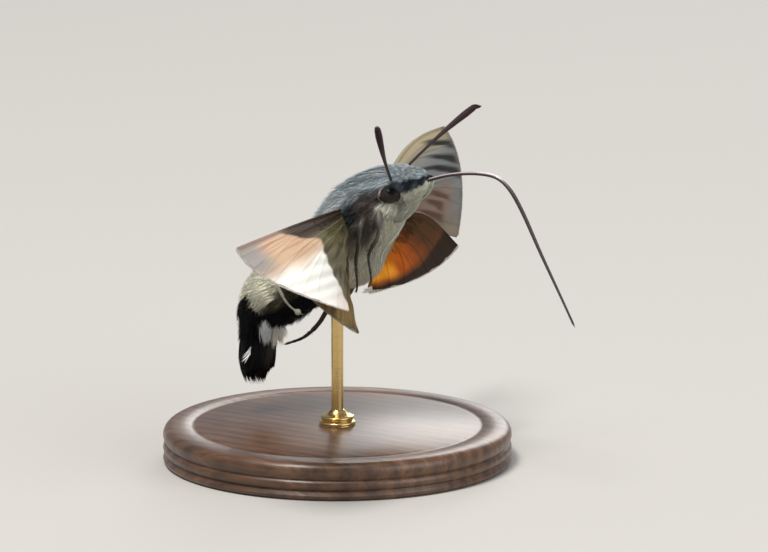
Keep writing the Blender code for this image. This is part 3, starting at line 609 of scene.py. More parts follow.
def coat_piece(name, batches, slot, painted_root_shade=0.5):
    """One coat object from batches of tufts, with painted shade darkening each towards its root, without
    those that pierce an eye.

    Each batch is (surface, u, v, colours, unwrap, sizes). unwrap gives each root its place on the
    skin's own unwrap, and on the map OFBake a tuft's corners lie in a small patch round it.
    """
    shapes = []
    maps = []
    tints = []
    for surface, u, v, colours, unwrap, sizes in batches:
        points, patch, t = tufts(surface, u, v, **sizes)
        eyes = [np.linalg.norm((points - EYE_CENTRE * (1, s, 1)) / EYE_SHAPE, axis=-1) for s in (1, -1)]
        eyes = np.minimum(*eyes)
        keep = (eyes.max(axis=1) > EYE_RADIUS + EYE_CLEAR) & (eyes[:, -1] > EYE_RADIUS - EYE_OVERHANG)
        points = points[keep]
        shapes.append((points.reshape(-1, 3), tuft_faces(len(points), t.shape[1])))
        maps.append((np.stack(unwrap, axis=-1)[keep][:, None] + patch[None]).reshape(-1, 2))
        # Painted shade: each tuft darkens from its tip towards its root, deep in the coat.
        shade = painted_root_shade + (1 - painted_root_shade) * np.concatenate((np.repeat(t[0, :-1], 3), [1.0]))
        tints.append((colours[keep][:, None] * shade[None, :, None]).reshape(-1, 3))
    points, faces = joined(shapes)
    mesh = new_mesh(name, (points + MOTH_ORIGIN) * MM, faces)
    paint(mesh, np.concatenate(tints))
    add_map(mesh, "OFBake", np.clip(np.concatenate(maps), 0.0, 1.0))
    new_piece(name, mesh, coat_finish, slot)


def add_map(mesh, name, places):
    """UV map from one place for each point."""
    corner = np.empty(len(mesh.loops), np.int32)
    mesh.loops.foreach_get("vertex_index", corner)
    mesh.uv_layers.new(name=name).data.foreach_set("uv", places[corner].astype(np.float32).ravel())


def lock_tones(draw, count):
    """Uneven brightness of the locks, most of them near 1, as a column."""
    return np.clip(draw.lognormal(-0.02, 0.25, count), 0.5, 2.2)[:, None]


def body_batch(count, span, seed, reach=(0.0, 2 * math.pi), **sizes):
    """Batch of tufts on the body between two arc lengths, lying backwards, unevenly raised."""
    x, y, draw = spread(count, seed)
    arc = span[0] + (span[1] - span[0]) * x
    around = reach[0] + (reach[1] - reach[0]) * y
    girth = around * BODY_GIRTH
    colours = body_marking(arc + TIP_AHEAD, around) * lock_tones(draw, count)
    raised = 1 + 0.5 * waves(arc, girth, 1.6, seed + 40) + draw.uniform(-0.5, 1.0, count)
    tuck = BELLY_TUCK * np.clip(np.cos(around), 0, 1) * ramp(arc, 17.0, 19.5)
    sizes["lift"] = sizes["lift"] * raised - tuck
    sizes["length"] = sizes["length"] * draw.uniform(0.7, 1.15, count)
    sizes["half_width"] = sizes["half_width"] * draw.uniform(0.7, 1.3, count)
    sizes["sway"] = 0.10 * waves(arc, girth, 2.3, seed + 41) + draw.normal(0, 0.045, count)
    unwrap = (around / (2 * math.pi), arc / BODY_LENGTH)
    return body_surface, arc, around, colours, unwrap, sizes


def ruff_surface(u, v, height=0.0):
    """Straight bridge over the neck from a ring round the crown (u = 0) to one round the thorax
    (u = 1), raised between them as u times 1 - u.
    """
    raised = height + RUFF_BULGE * 4 * u * (1 - u)
    share = np.broadcast_arrays(u, v)[0][..., None]
    return (1 - share) * head_surface(RUFF_START, v, raised) + share * body_surface(RUFF_END, v, raised)


def ruff_batch(count, seed):
    """Batch of loose hair that lies from the back of the head over the neck, above and beside it."""
    x, y, draw = spread(count, seed)
    around = RUFF_EDGE + 2 * (math.pi - RUFF_EDGE) * y
    crown = head_marking(RUFF_START + 0 * around, around)
    shoulder = body_marking(RUFF_END + 0 * around, around)
    sizes = {
        "length": 0.60 * draw.uniform(0.7, 1.1, count),
        "half_width": 0.036 * draw.uniform(0.7, 1.3, count),
        "thick": 0.022,
        "lift": 0.05 + 0.12 * draw.uniform(-1.0, 1.5, count),
        "sway": draw.normal(0, 0.07, count),
        "sink": 0.30,
    }
    start = -0.10 + 0.62 * x
    colours = blend(crown, shoulder, ramp(start, 0.0, 0.4)) * draw.uniform(0.75, 1.25, count)[:, None]
    return ruff_surface, start, around, colours, (y, 0.05 * x), sizes


under_hair = {"length": 1.3, "half_width": 0.045, "thick": 0.03}
loose_hair = {"length": 1.7, "half_width": 0.034, "thick": 0.024}
abdomen_hair = {"length": 0.85, "half_width": 0.06, "thick": 0.03}
rump_hair = {"length": 1.25, "half_width": 0.05, "thick": 0.03}
back = body_batch(12200, (0.0, 8.9), 21, BACK_REACH, lift=0.12, **under_hair)
coat_piece("coat_back", [back], "body_fur")
chest = body_batch(11500, (0.4, 8.9), 22, CHEST_REACH, lift=0.06, **under_hair)
coat_piece("coat_chest", [chest], "body_fur")
coat_piece(
    "coat_loose",
    [
        body_batch(5200, (0.4, 8.6), 27, BACK_REACH, lift=0.24, **loose_hair),
        body_batch(3800, (0.4, 8.6), 28, CHEST_REACH, lift=0.13, **loose_hair),
        ruff_batch(1700, 20),
    ],
    "body_fur",
)
abdomen = body_batch(12200, (8.4, 21.3), 23, lift=0.04, **abdomen_hair)
coat_piece("coat_abdomen", [abdomen], "abdomen_fur", 0.82)
rump = body_batch(5000, (12.5, 21.2), 29, lift=0.14, **rump_hair)
coat_piece("coat_rump", [rump], "abdomen_fur", 0.82)


def head_batch(count, seed):
    """Batch of short tufts over the head, from the face backwards, evenly spread by area."""
    x, y, draw = spread(count, seed)
    back = HEAD_HALF * np.arccos(1 - 1.75 * x)
    around = 2 * math.pi * y
    colours = head_marking(back, around) * lock_tones(draw, count)
    nape = ramp(back, 2.6, 4.2)
    sizes = {
        "length": (0.5 + 0.75 * nape) * draw.uniform(0.7, 1.2, count),
        "half_width": (0.026 + 0.01 * nape) * draw.uniform(0.7, 1.3, count),
        "thick": 0.018,
        "lift": (0.06 + 0.30 * nape) * draw.uniform(0.0, 2.0, count),
        "sway": draw.normal(0, 0.08, count),
        "sink": 0.32,
    }
    unwrap = (y, back / (math.pi * HEAD_HALF))
    return head_surface, back, around, colours, unwrap, sizes


def snout_batch(form, side, column, marking, count, seed):
    """Batch of short tufts on a palp, the brow or the throat, lying towards its tip."""
    x, y, draw = spread(count, seed)
    along = SNOUT_LENGTH * (0.02 + 0.90 * x)
    around = 2 * math.pi * y
    sizes = {
        "length": np.minimum(0.45 * draw.uniform(0.7, 1.2, count), SNOUT_LENGTH * 1.02 - along),
        "half_width": 0.026 * draw.uniform(0.7, 1.3, count),
        "thick": 0.018,
        "lift": 0.035 * draw.uniform(0.0, 2.0, count),
        "sway": draw.normal(0, 0.1, count),
        "sink": 0.13,
    }
    colours = marking(along, around) * draw.uniform(0.72, 1.28, count)[:, None]
    unwrap = ((y + column) / 4, x)
    return snout_surface(form, side), along, around, colours, unwrap, sizes


def lid_surface(side):
    """Squashed sphere round an eye: u climbs from the rim to the middle of the eye, and v turns
    about the line from the head's centre through the eye's.
    """
    centre = EYE_CENTRE * (1, side, 1)
    axis = centre - HEAD_CENTRE
    axis = axis / np.linalg.norm(axis)
    front = np.cross(np.cross(axis, (1.0, 0.0, 0.0)), axis)
    front = front / np.linalg.norm(front)
    over = np.cross(axis, front)

    def place(u, v, height=0.0):
        u, v, height = np.broadcast_arrays(u, v, height)
        polar = (LID_TILT - u / EYE_RADIUS)[..., None]
        ring = np.cos(v)[..., None] * front + np.sin(v)[..., None] * over
        out = (EYE_RADIUS + height)[..., None]
        return centre + EYE_SHAPE * out * (np.cos(polar) * axis + np.sin(polar) * ring)

    return place


def lid_batch(side, count, seed):
    """Batch of small scales round an eye's rim: pale behind and below, dark in front and above."""
    x, y, draw = spread(count, seed)
    turn = 2 * math.pi * y
    surface = lid_surface(side)
    root = surface(0 * turn, turn)
    behind = 1 - ramp(root[:, 0] + 0.25 * root[:, 2], 4.0, 4.7)
    sizes = {
        "length": 0.20 * draw.uniform(0.7, 1.2, count) + 0.72 * behind * draw.uniform(0.9, 1.1, count),
        "half_width": 0.040 * draw.uniform(0.8, 1.2, count),
        "thick": 0.014,
        "stations": 6,
        "lift": 0.05 + 0.06 * behind,
        "sway": draw.normal(0, 0.06, count),
        "sink": 0.05,
    }
    colours = blend(BLUE_BLACK, RIM_PINK, behind) * draw.uniform(0.7, 1.2, count)[:, None]
    unwrap = (y, 0.5 + 0.1 * x)
    return surface, 0.10 * x + 0.42 * behind, turn, colours, unwrap, sizes


coat_piece("coat_head", [head_batch(8200, 24)], "body_fur")
coat_piece(
    "coat_snout",
    [
        snout_batch(PALP, 1, 0, palp_marking, 2400, 25),
        snout_batch(PALP, -1, 1, palp_marking, 2400, 26),
        snout_batch(BROW, 0, 2, brow_marking, 2600, 30),
        snout_batch(THROAT, 0, 3, throat_marking, 1700, 37),
    ],
    "palp_fur",
)
coat_piece("coat_lids", [lid_batch(1, 420, 35), lid_batch(-1, 420, 36)], "body_fur")

# Tail fan and side tufts
# Long flat scales. The fan's spread from the last segments over a short core, and the side tufts
# stand off the flanks, each a bunch of locks that overlap and bend with the body.
FAN_END = 26.6
FAN_SHORTEST = 0.9
SOOT = BLACK * 1.4
WHITE_TUFT = np.array((1.0, 1.0, 0.93))
# Each bunch: length along the body, degrees up the side, colour, length of its locks, lift,
# slant, half spread in degrees, number of locks.
SIDE_BUNCHES = (
    (14.6, 62, OLIVE * 0.7, 2.4, 0.36, 0.0, 7, 90),
    (14.8, 80, CREAM * 0.80, 2.6, 0.46, 0.05, 8, 110),
    (15.0, 98, CREAM, 2.6, 0.50, 0.08, 8, 120),
    (15.0, 116, CREAM * 0.95, 2.3, 0.40, 0.05, 8, 110),
    (13.9, 12, SOOT, 2.3, 0.60, 0.0, 12, 80),
    (15.2, 14, SOOT, 2.4, 0.84, 0.0, 12, 90),
    (15.6, 38, BLACK, 2.3, 0.60, 0.0, 9, 80),
    (16.6, 10, SOOT, 2.5, 0.92, 0.0, 11, 90),
    (16.9, 32, BLACK, 2.4, 0.70, 0.0, 9, 90),
    (17.8, 8, SOOT, 2.5, 0.78, 0.0, 10, 100),
    (17.9, 28, BLACK, 2.4, 0.66, 0.0, 8, 90),
    (17.9, 66, BLACK, 2.2, 0.42, 0.0, 7, 90),
    (18.0, 86, BLACK * 1.2, 2.3, 0.50, 0.0, 8, 110),
    (17.4, 106, BLACK, 2.2, 0.46, 0.05, 8, 110),
    (18.3, 128, BLACK, 2.0, 0.34, 0.0, 9, 90),
    (18.9, 50, GREY_TUFT, 2.9, 0.42, -0.26, 4, 110),
    (19.4, 42, GREY_TUFT, 2.6, 0.52, -0.12, 4, 110),
    (19.6, 34, GREY_TUFT, 1.9, 0.50, -0.04, 4, 90),
    (19.8, 52, GREY_TUFT * 0.9, 1.9, 0.44, -0.20, 4, 60),
    (19.5, 84, BLACK, 2.6, 0.46, 0.0, 9, 120),
    (19.7, 108, BLACK * 1.3, 2.4, 0.40, 0.0, 9, 110),
    (20.0, 11, WHITE_TUFT, 2.4, 0.52, 0.0, 6, 150),
    (19.8, 5, WHITE_TUFT, 1.9, 1.00, 0.0, 5, 130),
    (22.8, 77, (1.0, 1.0, 1.0), 1.15, 0.18, 0.50, 0.7, 10),
)


def fan_batch(count, seed, depth, span, length, half_width):
    """Batch of long scales round the tail at a depth under the fan's outer surface. Beneath and at
    the sides they lie closer and end sooner, by the cosine and the squared sine of around.
    """
    x, y, draw = spread(count, seed)
    arc = span[0] + (span[1] - span[0]) * x
    around = 2 * math.pi * y
    below = np.cos(around)
    beside = np.sin(around) ** 2
    tuck = 0.60 * np.clip(below, 0, 1) - 0.16 * np.clip(-below, 0, 1) + 0.18 * beside
    reach = length * draw.uniform(0.86, 1.06, count)
    reach = np.minimum(reach, np.maximum(FAN_END - (0.75 * (1 + below) + 0.45 * beside) - arc, FAN_SHORTEST))
    colours = BLACK * draw.uniform(0.7, 1.9, count)[:, None]
    browner = ramp(np.cos(around * 2), 0.6, 1.0) * draw.uniform(0, 1, count)
    colours = blend(colours, GREY_BROWN * 0.28, browner)
    sizes = {
        "length": reach,
        "half_width": half_width * draw.uniform(0.8, 1.25, count),
        "thick": 0.035,
        "lift": -depth - tuck + draw.uniform(-0.06, 0.10, count),
        "sway": draw.normal(0, 0.05, count) + 0.06 * np.sin(2 * around),
        "sink": 0.55 + depth,
        "stations": 6,
        "rise": 0.55,
    }
    return body_surface, arc, around, colours, (y, arc / BODY_LENGTH), sizes


def bunch_batch(side, seed, arc, up, colour, length, lift, slant, wide, count):
    """Batch of locks that start close together on one flank and part towards their tips."""
    draw = np.random.default_rng(seed)
    start = arc + draw.uniform(-0.35, 0.35, count)
    place = side * np.radians(up + draw.uniform(-wide, wide, count))
    pressed = 0.35 if side > 0 and 40 < up < 70 else 1.0
    sizes = {
        "length": length * draw.uniform(0.7, 1.1, count),
        "half_width": 0.055 * draw.uniform(0.7, 1.3, count),
        "thick": 0.025,
        "lift": lift * draw.uniform(0.35, 1.1, count) * pressed,
        "sway": side * (slant + draw.normal(0.0, 0.06, count)),
        "sink": 0.5 if length > 1.5 else 0.06,
        "stations": 5,
        "rise": 0.9,
    }
    colours = np.array(colour) * draw.uniform(0.75, 1.2, count)[:, None]
    unwrap = ((place / (2 * math.pi)) % 1.0, start / BODY_LENGTH)
    return body_surface, start, place, colours, unwrap, sizes


coat_piece(
    "tail_fan_scales",
    [
        fan_batch(900, 31, 0.0, (20.4, 22.6), 4.0, 0.13),
        fan_batch(700, 32, 0.35, (21.0, 23.2), 3.6, 0.14),
        fan_batch(420, 33, 0.85, (21.6, 23.8), 3.2, 0.14),
    ],
    "tail_scales",
    0.7,
)
bunches = []
for side, first_seed in ((1, 51), (-1, 71)):
    for seed, bunch in enumerate(SIDE_BUNCHES, first_seed):
        bunches.append(bunch_batch(side, seed, *bunch))
coat_piece("side_tufts", bunches, "abdomen_fur", 0.92)

# Eyes
# Compound eyes: a dark dome on each side of the head, slightly flattened from above, its skin made
# of tiny six-sided lenses, glossy, brown-grey towards its lower rim, with one black spot of painted
# shade: the pseudopupil, which a real eye shows only on the side it is seen from.
EYE_RINGS = 40
EYE_POLE_GAP = 0.02
EYE_BROWN = (0.052, 0.046, 0.034)
# Direction towards the black spot, painted shade that stands in for the pseudopupil.
PSEUDOPUPIL_WAY = (0.608, 0.622, 0.520)
eye_finish, tree, shader = new_material(
    "eye_finish", Roughness=0.30, Coat_Weight=0.07, Coat_Roughness=0.04, Specular_IOR_Level=0.05
)
place = add_node(tree, "TexCoord").outputs["Object"]
lens_cells = {"Vector": place, "Scale": 16000.0, "Randomness": 0.15}
cells = add_node(tree, "TexVoronoi", lens_cells, feature="DISTANCE_TO_EDGE")
lens = add_node(tree, "MapRange", {0: cells.outputs["Distance"], 1: 0.0, 2: 0.25})
tinted(tree, shader, lens.outputs[0], 0.6, 1.15)
bumped(tree, shader, lens.outputs[0], 0.000012)
around = ring_angles(2 * EYE_RINGS)
polar = np.linspace(EYE_POLE_GAP, math.pi - EYE_POLE_GAP, EYE_RINGS)[:, None]
for side, word in ((1, "left"), (-1, "right")):
    outward = -np.cos(polar) * side + 0 * around
    dome = np.stack((np.sin(polar) * np.cos(around), outward, np.sin(polar) * np.sin(around)), axis=-1)
    points, faces = closed_rings(dome)
    towards_pseudopupil = points @ (np.array(PSEUDOPUPIL_WAY) * (1, side, 1))
    points = points * EYE_SHAPE
    lower = 1 - ramp(points[:, 2] + 0.6 * points[:, 0], -0.55, 0.70)
    centre = EYE_CENTRE * (1, side, 1) + MOTH_ORIGIN
    mesh = new_mesh("eye_" + word, (points * EYE_RADIUS + centre) * MM, faces)
    brown = (EYE_BROWN, 0.35 + 0.65 * lower)
    # The black spot is painted shade standing in for the pseudopupil.
    paint(mesh, layered(BLACK * 2.0, brown, (BLACK * 0.3, ramp(towards_pseudopupil, 0.915, 0.945))))
    new_piece("compound_eye_" + word, mesh, eye_finish, "eye", "eye_" + word)

# Tongue
# Coiling mouthpart held out straight: two half-tubes of brown chitin locked side by side, with a
# groove where they meet above and below and fine rings all along.
TONGUE_START = (4.15, 3.64)
TONGUE_LINE = np.array((
    (0.0, 19.5), (3.8, 18.3), (5.7, 11.5), (7.8, 4.0), (9.6, -8.5), (11.1, -38.0), (12.4, -53.0),
    (14.2, -59.5), (16.3, -62.5), (18.3, -61.0), (25.5, -61.0),
))
TONGUE_RADIUS = 0.185
TONGUE_TIP_RADIUS = 0.10
TONGUE_RING_PITCH = 0.16
TONGUE_AMBER = (0.042, 0.022, 0.018)
TONGUE_DARK = (0.028, 0.016, 0.013)
# Pale line of painted highlight along the top of the tongue.
TONGUE_PAINTED_HIGHLIGHT = (0.50, 0.43, 0.47)


def tube_surface(path, radii, upward):
    """Round surface along a path: place(u, v, height) steps out from the path at length u by the
    radius plus height, at the angle v from the upward side.
    """
    lengths = np.concatenate(([0.0], np.cumsum(np.linalg.norm(np.diff(path, axis=0), axis=1))))
    heading = np.gradient(path, axis=0)
    heading = heading / np.linalg.norm(heading, axis=1, keepdims=True)
    aside = np.cross(heading, upward)
    aside = aside / np.linalg.norm(aside, axis=1, keepdims=True)
    over = np.cross(aside, heading)

    def place(u, v, height=0.0):
        u, v = np.broadcast_arrays(u, v)
        centre, left, top = (
            np.stack([np.interp(u, lengths, rows[:, k]) for k in range(3)], axis=-1)
            for rows in (path, aside, over)
        )
        radius = np.interp(u, lengths, radii) + height
        return centre + (radius * np.sin(v))[..., None] * left + (radius * np.cos(v))[..., None] * top

    return place, lengths[-1]


def tube_grid(start, end, rows, columns):
    """Lengths down the rows and angles across the columns of a grid over a tube."""
    return np.linspace(start, end, rows)[:, None], ring_angles(columns)


def on_tube(values, u, v, ends):
    """Values over a tube's grid in the order of its points, and those of its two end points."""
    return np.concatenate((np.broadcast_to(values, (u.size, v.size)).ravel(), ends))


tongue_arcs, tongue_x, tongue_z, _ = traced_line(TONGUE_LINE, TONGUE_START, 1)
tongue_path = np.stack((tongue_x, 0 * tongue_x, tongue_z), axis=-1)
tongue_radii = TONGUE_RADIUS - (TONGUE_RADIUS - TONGUE_TIP_RADIUS) * ramp(tongue_arcs, 12.0, 25.5)
tongue_place, tongue_length = tube_surface(tongue_path, tongue_radii, (0.0, 1.0, 0.0))
u, v = tube_grid(0.05, tongue_length - 0.01, 620, 20)
groove = -0.20 * TONGUE_RADIUS * bell(np.sin(v) ** 2, 1, 0.16)
rings = 0.022 * TONGUE_RADIUS * (1 + np.cos(2 * math.pi * u / TONGUE_RING_PITCH))
close = -0.8 * TONGUE_TIP_RADIUS * ramp(u, tongue_length - 0.5, tongue_length)
points, faces = closed_rings(tongue_place(u, v, groove + rings + close))
mesh = new_mesh("tongue", (points + MOTH_ORIGIN) * MM, faces)
along = on_tube(u, u, v, (0.0, tongue_length))
# Painted highlight: a pale line along the top of the tongue's first stretch.
ridge = ramp(on_tube(np.cos(v - 2.1), u, v, (0.0, 0.0)), 0.72, 0.92) * (1 - ramp(along, 8.0, 13.0))
paint(mesh, layered(TONGUE_AMBER, (TONGUE_DARK, ramp(along, 3.0, 12.0)), (TONGUE_PAINTED_HIGHLIGHT, ridge)))
tongue_finish = grained_finish(
    "tongue_finish", 7000.0, 2.0, 0.7, 1.3, Roughness=0.16, Coat_Weight=0.7, Coat_Roughness=0.06
)
new_piece("tongue", mesh, tongue_finish, "tongue", "proboscis_base", "proboscis_mid", "proboscis_tip")

# Antennae
# Jointed feelers, slender at the head and swelling to a club with a small hooked point. Some
# forty joints show as beads, with dark brown-purple scales over the upper side.
ANTENNA_JOINTS = 42
ANTENNA_HOOK = 0.35
ANTENNA_UPPER = (0.026, 0.015, 0.017)
ANTENNA_UNDER = (0.055, 0.038, 0.038)
ANTENNA_CLUB = (0.024, 0.007, 0.010)
# Each antenna: its foot, the way to its tip, and how far it bows.
ANTENNAE = {
    "right": ((3.6, -1.05, 4.1), (2.80, -7.20, 6.88), -0.42),
    "left": ((3.3, 1.05, 4.8), (3.29, 8.12, 5.41), 0.25),
}
# Share of the length, and the radius there.
ANTENNA_RADII = np.array((
    (0.0, 0.20), (0.05, 0.19), (0.07, 0.125), (0.32, 0.13), (0.50, 0.18), (0.66, 0.26), (0.82, 0.325),
    (0.92, 0.30), (0.975, 0.17), (0.99, 0.08), (1.0, 0.04),
))
antenna_finish = grained_finish(
    "antenna_finish", 12000.0, 3.0, 0.5, 1.5, 0.00002, Roughness=0.5, Specular_IOR_Level=0.2
)
t = np.linspace(0, 1, 60)
radii = np.interp(t, ANTENNA_RADII[:, 0], ANTENNA_RADII[:, 1])
for word, (foot, run, bow) in ANTENNAE.items():
    lean = np.cross(np.cross(run, (0.0, 0.0, 1.0)), run)
    lean = lean / np.linalg.norm(lean)
    swerve = bow * np.sin(math.pi * t) - ANTENNA_HOOK * ramp(t, 0.93, 1.0)
    path = np.array(foot) + t[:, None] * np.array(run) + lean * swerve[:, None]
    antenna_place, length = tube_surface(path, radii, lean)
    u, v = tube_grid(0.0, length, ANTENNA_JOINTS * 6, 18)
    beads = np.abs(np.sin(math.pi * ANTENNA_JOINTS * u / length)) ** 0.6 - 0.8
    points, faces = closed_rings(antenna_place(u, v, 0.10 * np.interp(u, t * length, radii) * beads))
    mesh = new_mesh("antenna_" + word, (points + MOTH_ORIGIN) * MM, faces)
    under = ramp(-on_tube(np.cos(v), u, v, (0.0, 0.0)), -0.2, 0.8)
    club = ramp(on_tube(u / length, u, v, (0.0, 1.0)), 0.50, 0.80)
    paint(mesh, layered(ANTENNA_UPPER, (ANTENNA_UNDER, under), (ANTENNA_CLUB, club)))
    new_piece("feeler_" + word, mesh, antenna_finish, "antenna", "antenna_" + word)

# Legs
# Six slender legs folded close under the chest, but for the left hind one, which hangs free: a
# thick scaled thigh, a thin shin that ends in spurs, and a foot of five joints with two claws.
LEG_STATIONS = 80
LEG_FACING = (0.35, 0.15, 0.92)
SPUR_RADIUS = 0.05
SPUR_SHARE = 0.69
SPUR_LENGTHS = np.array((0.85, 0.7, 0.6, 0.3, 0.3))[:, None]
SPUR_SIDES = np.array((1, -1, 1, 1, -1))[:, None]
# Each folded leg: its side, then length along the body, degrees up the side and lift at its keys.
LEGS = {
    "front_right": (
        -1,
        ((1.3, 62.0, -0.9), (2.0, 48.0, 0.5), (3.3, 37.0, 0.65), (5.0, 34.0, 0.65), (7.6, 14.0, 0.7)),
    ),
    "front_left": (1, ((1.9, 40.0, -1.1), (2.3, 32.0, 0.0), (4.4, 9.0, 0.05), (6.3, 3.0, 0.10))),
    "mid_right": (
        -1,
        ((2.6, 74.0, -1.1), (3.0, 70.0, 0.75), (5.0, 54.0, 0.75), (6.9, 42.0, 0.8), (8.7, 24.0, 0.85)),
    ),
    "mid_left": (
        1,
        ((2.6, 72.0, -1.1), (3.0, 66.0, 0.0), (5.0, 56.0, 0.0), (6.9, 48.0, 0.05), (8.2, 38.0, 0.10)),
    ),
    "hind_right": (
        -1,
        (
            (7.6, 48.0, -1.1), (8.6, 60.0, 0.8), (11.0, 84.0, 0.85), (13.6, 100.0, 0.7),
            (14.1, 74.0, 0.65), (14.2, 55.0, 0.7), (14.1, 34.0, 0.75),
        ),
    ),
}
HANGING_LEG = np.array((
    (-1.3, 1.3, -4.3), (-2.9, 1.3, -7.4), (-4.7, 1.2, -8.8), (-5.8, 1.5, -10.2), (-6.9, 2.0, -11.2),
    (-8.3, 2.5, -12.2), (-10.6, 3.0, -13.2),
))
# Share of the length and radius there: the thigh to 0.41, the shin to 0.81, then the foot's joints.
LEG_PROFILE = np.array((
    (0.0, 0.22), (0.10, 0.29), (0.26, 0.27), (0.38, 0.18), (0.41, 0.16), (0.46, 0.18), (0.62, 0.17),
    (0.68, 0.18), (0.70, 0.11), (0.72, 0.14), (0.80, 0.13), (0.81, 0.09), (0.82, 0.12), (0.87, 0.11),
    (0.88, 0.08), (0.89, 0.11), (0.93, 0.10), (0.94, 0.07), (0.95, 0.10), (0.99, 0.09), (1.0, 0.04),
))
# Each leg: colour of the thigh, colour of the shin and foot, thickness.
LEG_LOOKS = {
    "front_right": ((0.085, 0.075, 0.068), (0.035, 0.028, 0.018), 1.1),
    "front_left": ((0.46, 0.45, 0.38), (0.46, 0.45, 0.38), 0.7),
    "mid_right": ((0.040, 0.034, 0.024), (0.028, 0.022, 0.012), 1.0),
    "mid_left": ((0.36, 0.35, 0.29), (0.30, 0.29, 0.24), 0.7),
    "hind_right": ((0.26, 0.25, 0.20), (0.30, 0.30, 0.235), 0.85),
    "hind_left": ((0.035, 0.024, 0.010), (0.030, 0.020, 0.010), 1.25),
}
leg_finish = grained_finish("leg_finish", 10000.0, 3.0, 0.6, 1.4, 0.00002, Roughness=0.5)


def leg_path(keys, side):
    """Leg's middle line over the body, from a smooth curve through its keys."""
    keys = np.array(keys)
    order = np.arange(len(keys), dtype=float)
    at = np.linspace(0, len(keys) - 1, LEG_STATIONS)
    arc, around, lift = (smooth_keys(order, keys[:, k], at) for k in range(3))
    return body_surface(arc, side * np.radians(around), np.minimum(lift, keys[-1, 2]))


def even_path(points):
    """Smooth curve through points in space, keyed by the length of the straight run between them."""
    lengths = np.concatenate(([0.0], np.cumsum(np.linalg.norm(np.diff(points, axis=0), axis=1))))
    at = np.linspace(0, lengths[-1], LEG_STATIONS)
    return np.stack([smooth_keys(lengths, points[:, k], at) for k in range(3)], axis=-1)


def spikes(base, heading, length, radius):
    """Four-sided cones from base points along headings, as one pair of points and faces."""
    heading = heading / np.linalg.norm(heading, axis=1, keepdims=True)
    aside = np.cross(heading, (0.31, 0.55, 0.77))
    aside = aside / np.linalg.norm(aside, axis=1, keepdims=True)
    over = np.cross(heading, aside)
    ring = np.stack([base + radius * s for s in (aside, over, -aside, -over)], axis=1)
    points = np.concatenate((ring, (base + heading * length)[:, None]), axis=1)
    start = (np.arange(len(base)) * 5)[:, None, None]
    sides = np.array(((0, 1, 4), (1, 2, 4), (2, 3, 4), (3, 0, 4)))[None] + start
    caps = np.array(((3, 2, 1, 0),))[None] + start
    return points.reshape(-1, 3), [caps.reshape(-1, 4), sides.reshape(-1, 3)]


leg_paths = {word: leg_path(keys, side) for word, (side, keys) in LEGS.items()}
leg_paths["hind_left"] = even_path(HANGING_LEG)
t = np.linspace(0, 1, LEG_STATIONS)
shin = np.searchsorted(t, SPUR_SHARE)
ends = np.array((shin, shin, shin - 14, LEG_STATIONS - 1, LEG_STATIONS - 1))
for word, path in leg_paths.items():
    thigh_tone, shin_tone, size = LEG_LOOKS[word]
    radii = np.interp(t, LEG_PROFILE[:, 0], LEG_PROFILE[:, 1]) * size
    if word == "hind_right":
        radii = radii + 0.24 * bell(t, 0.955, 0.030)
    leg_place, length = tube_surface(path, radii, LEG_FACING)
    u, v = tube_grid(0.0, length, 130, 14)
    limb = closed_rings(leg_place(u, v))
    heading = np.gradient(path, axis=0)[ends]
    lean = np.cross(heading, (0.2, 0.3, 0.9))
    lean = lean / np.linalg.norm(lean, axis=1, keepdims=True) * SPUR_SIDES
    way = heading / np.linalg.norm(heading, axis=1, keepdims=True) + 0.55 * lean
    spurs = spikes(path[ends] + SPUR_RADIUS * lean, way, SPUR_LENGTHS, SPUR_RADIUS)
    points, faces = joined((limb, spurs))
    mesh = new_mesh("leg_" + word, (points + MOTH_ORIGIN) * MM, faces)
    share = on_tube(u / length, u, v, [0.0, 1.0] + [0.8] * len(spurs[0]))
    paint(mesh, blend(thigh_tone, shin_tone, ramp(share, 0.36, 0.44)))
    new_piece("limb_" + word, mesh, leg_finish, "leg", "leg_" + word)

# Wings
# Each wing is a thin stiff membrane on a fan of veins that part from two trunks and stand proud on
# both faces, shingled with flat scales and edged with a fringe of longer ones.
WING_ROWS = 110
WING_COLUMNS = 150
WING_REFERENCE = 20
MEMBRANE_HALF = 0.045
FRONT_EDGE_RISE = 0.10
VEIN_HALF_WIDTH = 0.085
VEIN_RISE = 0.065
FACE_LIFT = 0.04
FRINGE_INSET = 0.12
FRINGE_SHARE = 0.985
HINDWING_BROWN = (0.085, 0.060, 0.038)
# Each wing: its side, its root, and in degrees its sweep, its rise and the chord's turn at root and
# tip. Then, out along the span and back along the chord, the ends of its root, its apex, the bend
# of its margin and its inner corner, and the front edge's bulge and skew, the camber and the width.
WINGS = {
    "forewing_left": (
        (1, (-0.27, 3.0, 1.25), (-15.2, 11.5, 11.5, 21.0)),
        ((-0.5, 1.4), (20.0, 0.5), (22.3, 5.0), (13.6, 9.4), 1.45, 1.0, 0.9, 1.0),
    ),
    "forewing_right": (
        (-1, (-0.27, 3.0, 1.25), (3.8, 1.7, 25.0, 57.0)),
        ((-0.5, 1.4), (20.0, 0.1), (25.0, 6.5), (9.6, 8.9), 0.15, 1.0, 0.9, 1.0),
    ),
    "hindwing_left": (
        (1, (0.10, 3.0, -1.45), (5.5, -15.0, -36.0, -37.0)),
        ((-0.6, 1.7), (11.7, 0.0), (12.7, 6.2), (4.6, 8.9), 2.4, 0.5, 0.5, 0.78),
    ),
    "hindwing_right": (
        (-1, (-0.45, 3.0, -1.6), (8.4, 1.0, 23.0, 42.0)),
        ((-0.6, 1.2), (12.0, -0.3), (13.6, 5.9), (6.0, 8.8), 1.65, 1.0, 0.5, 0.9),
    ),
}
WING_SPANS = {name: shape[1][0] for name, (_, shape) in WINGS.items()}
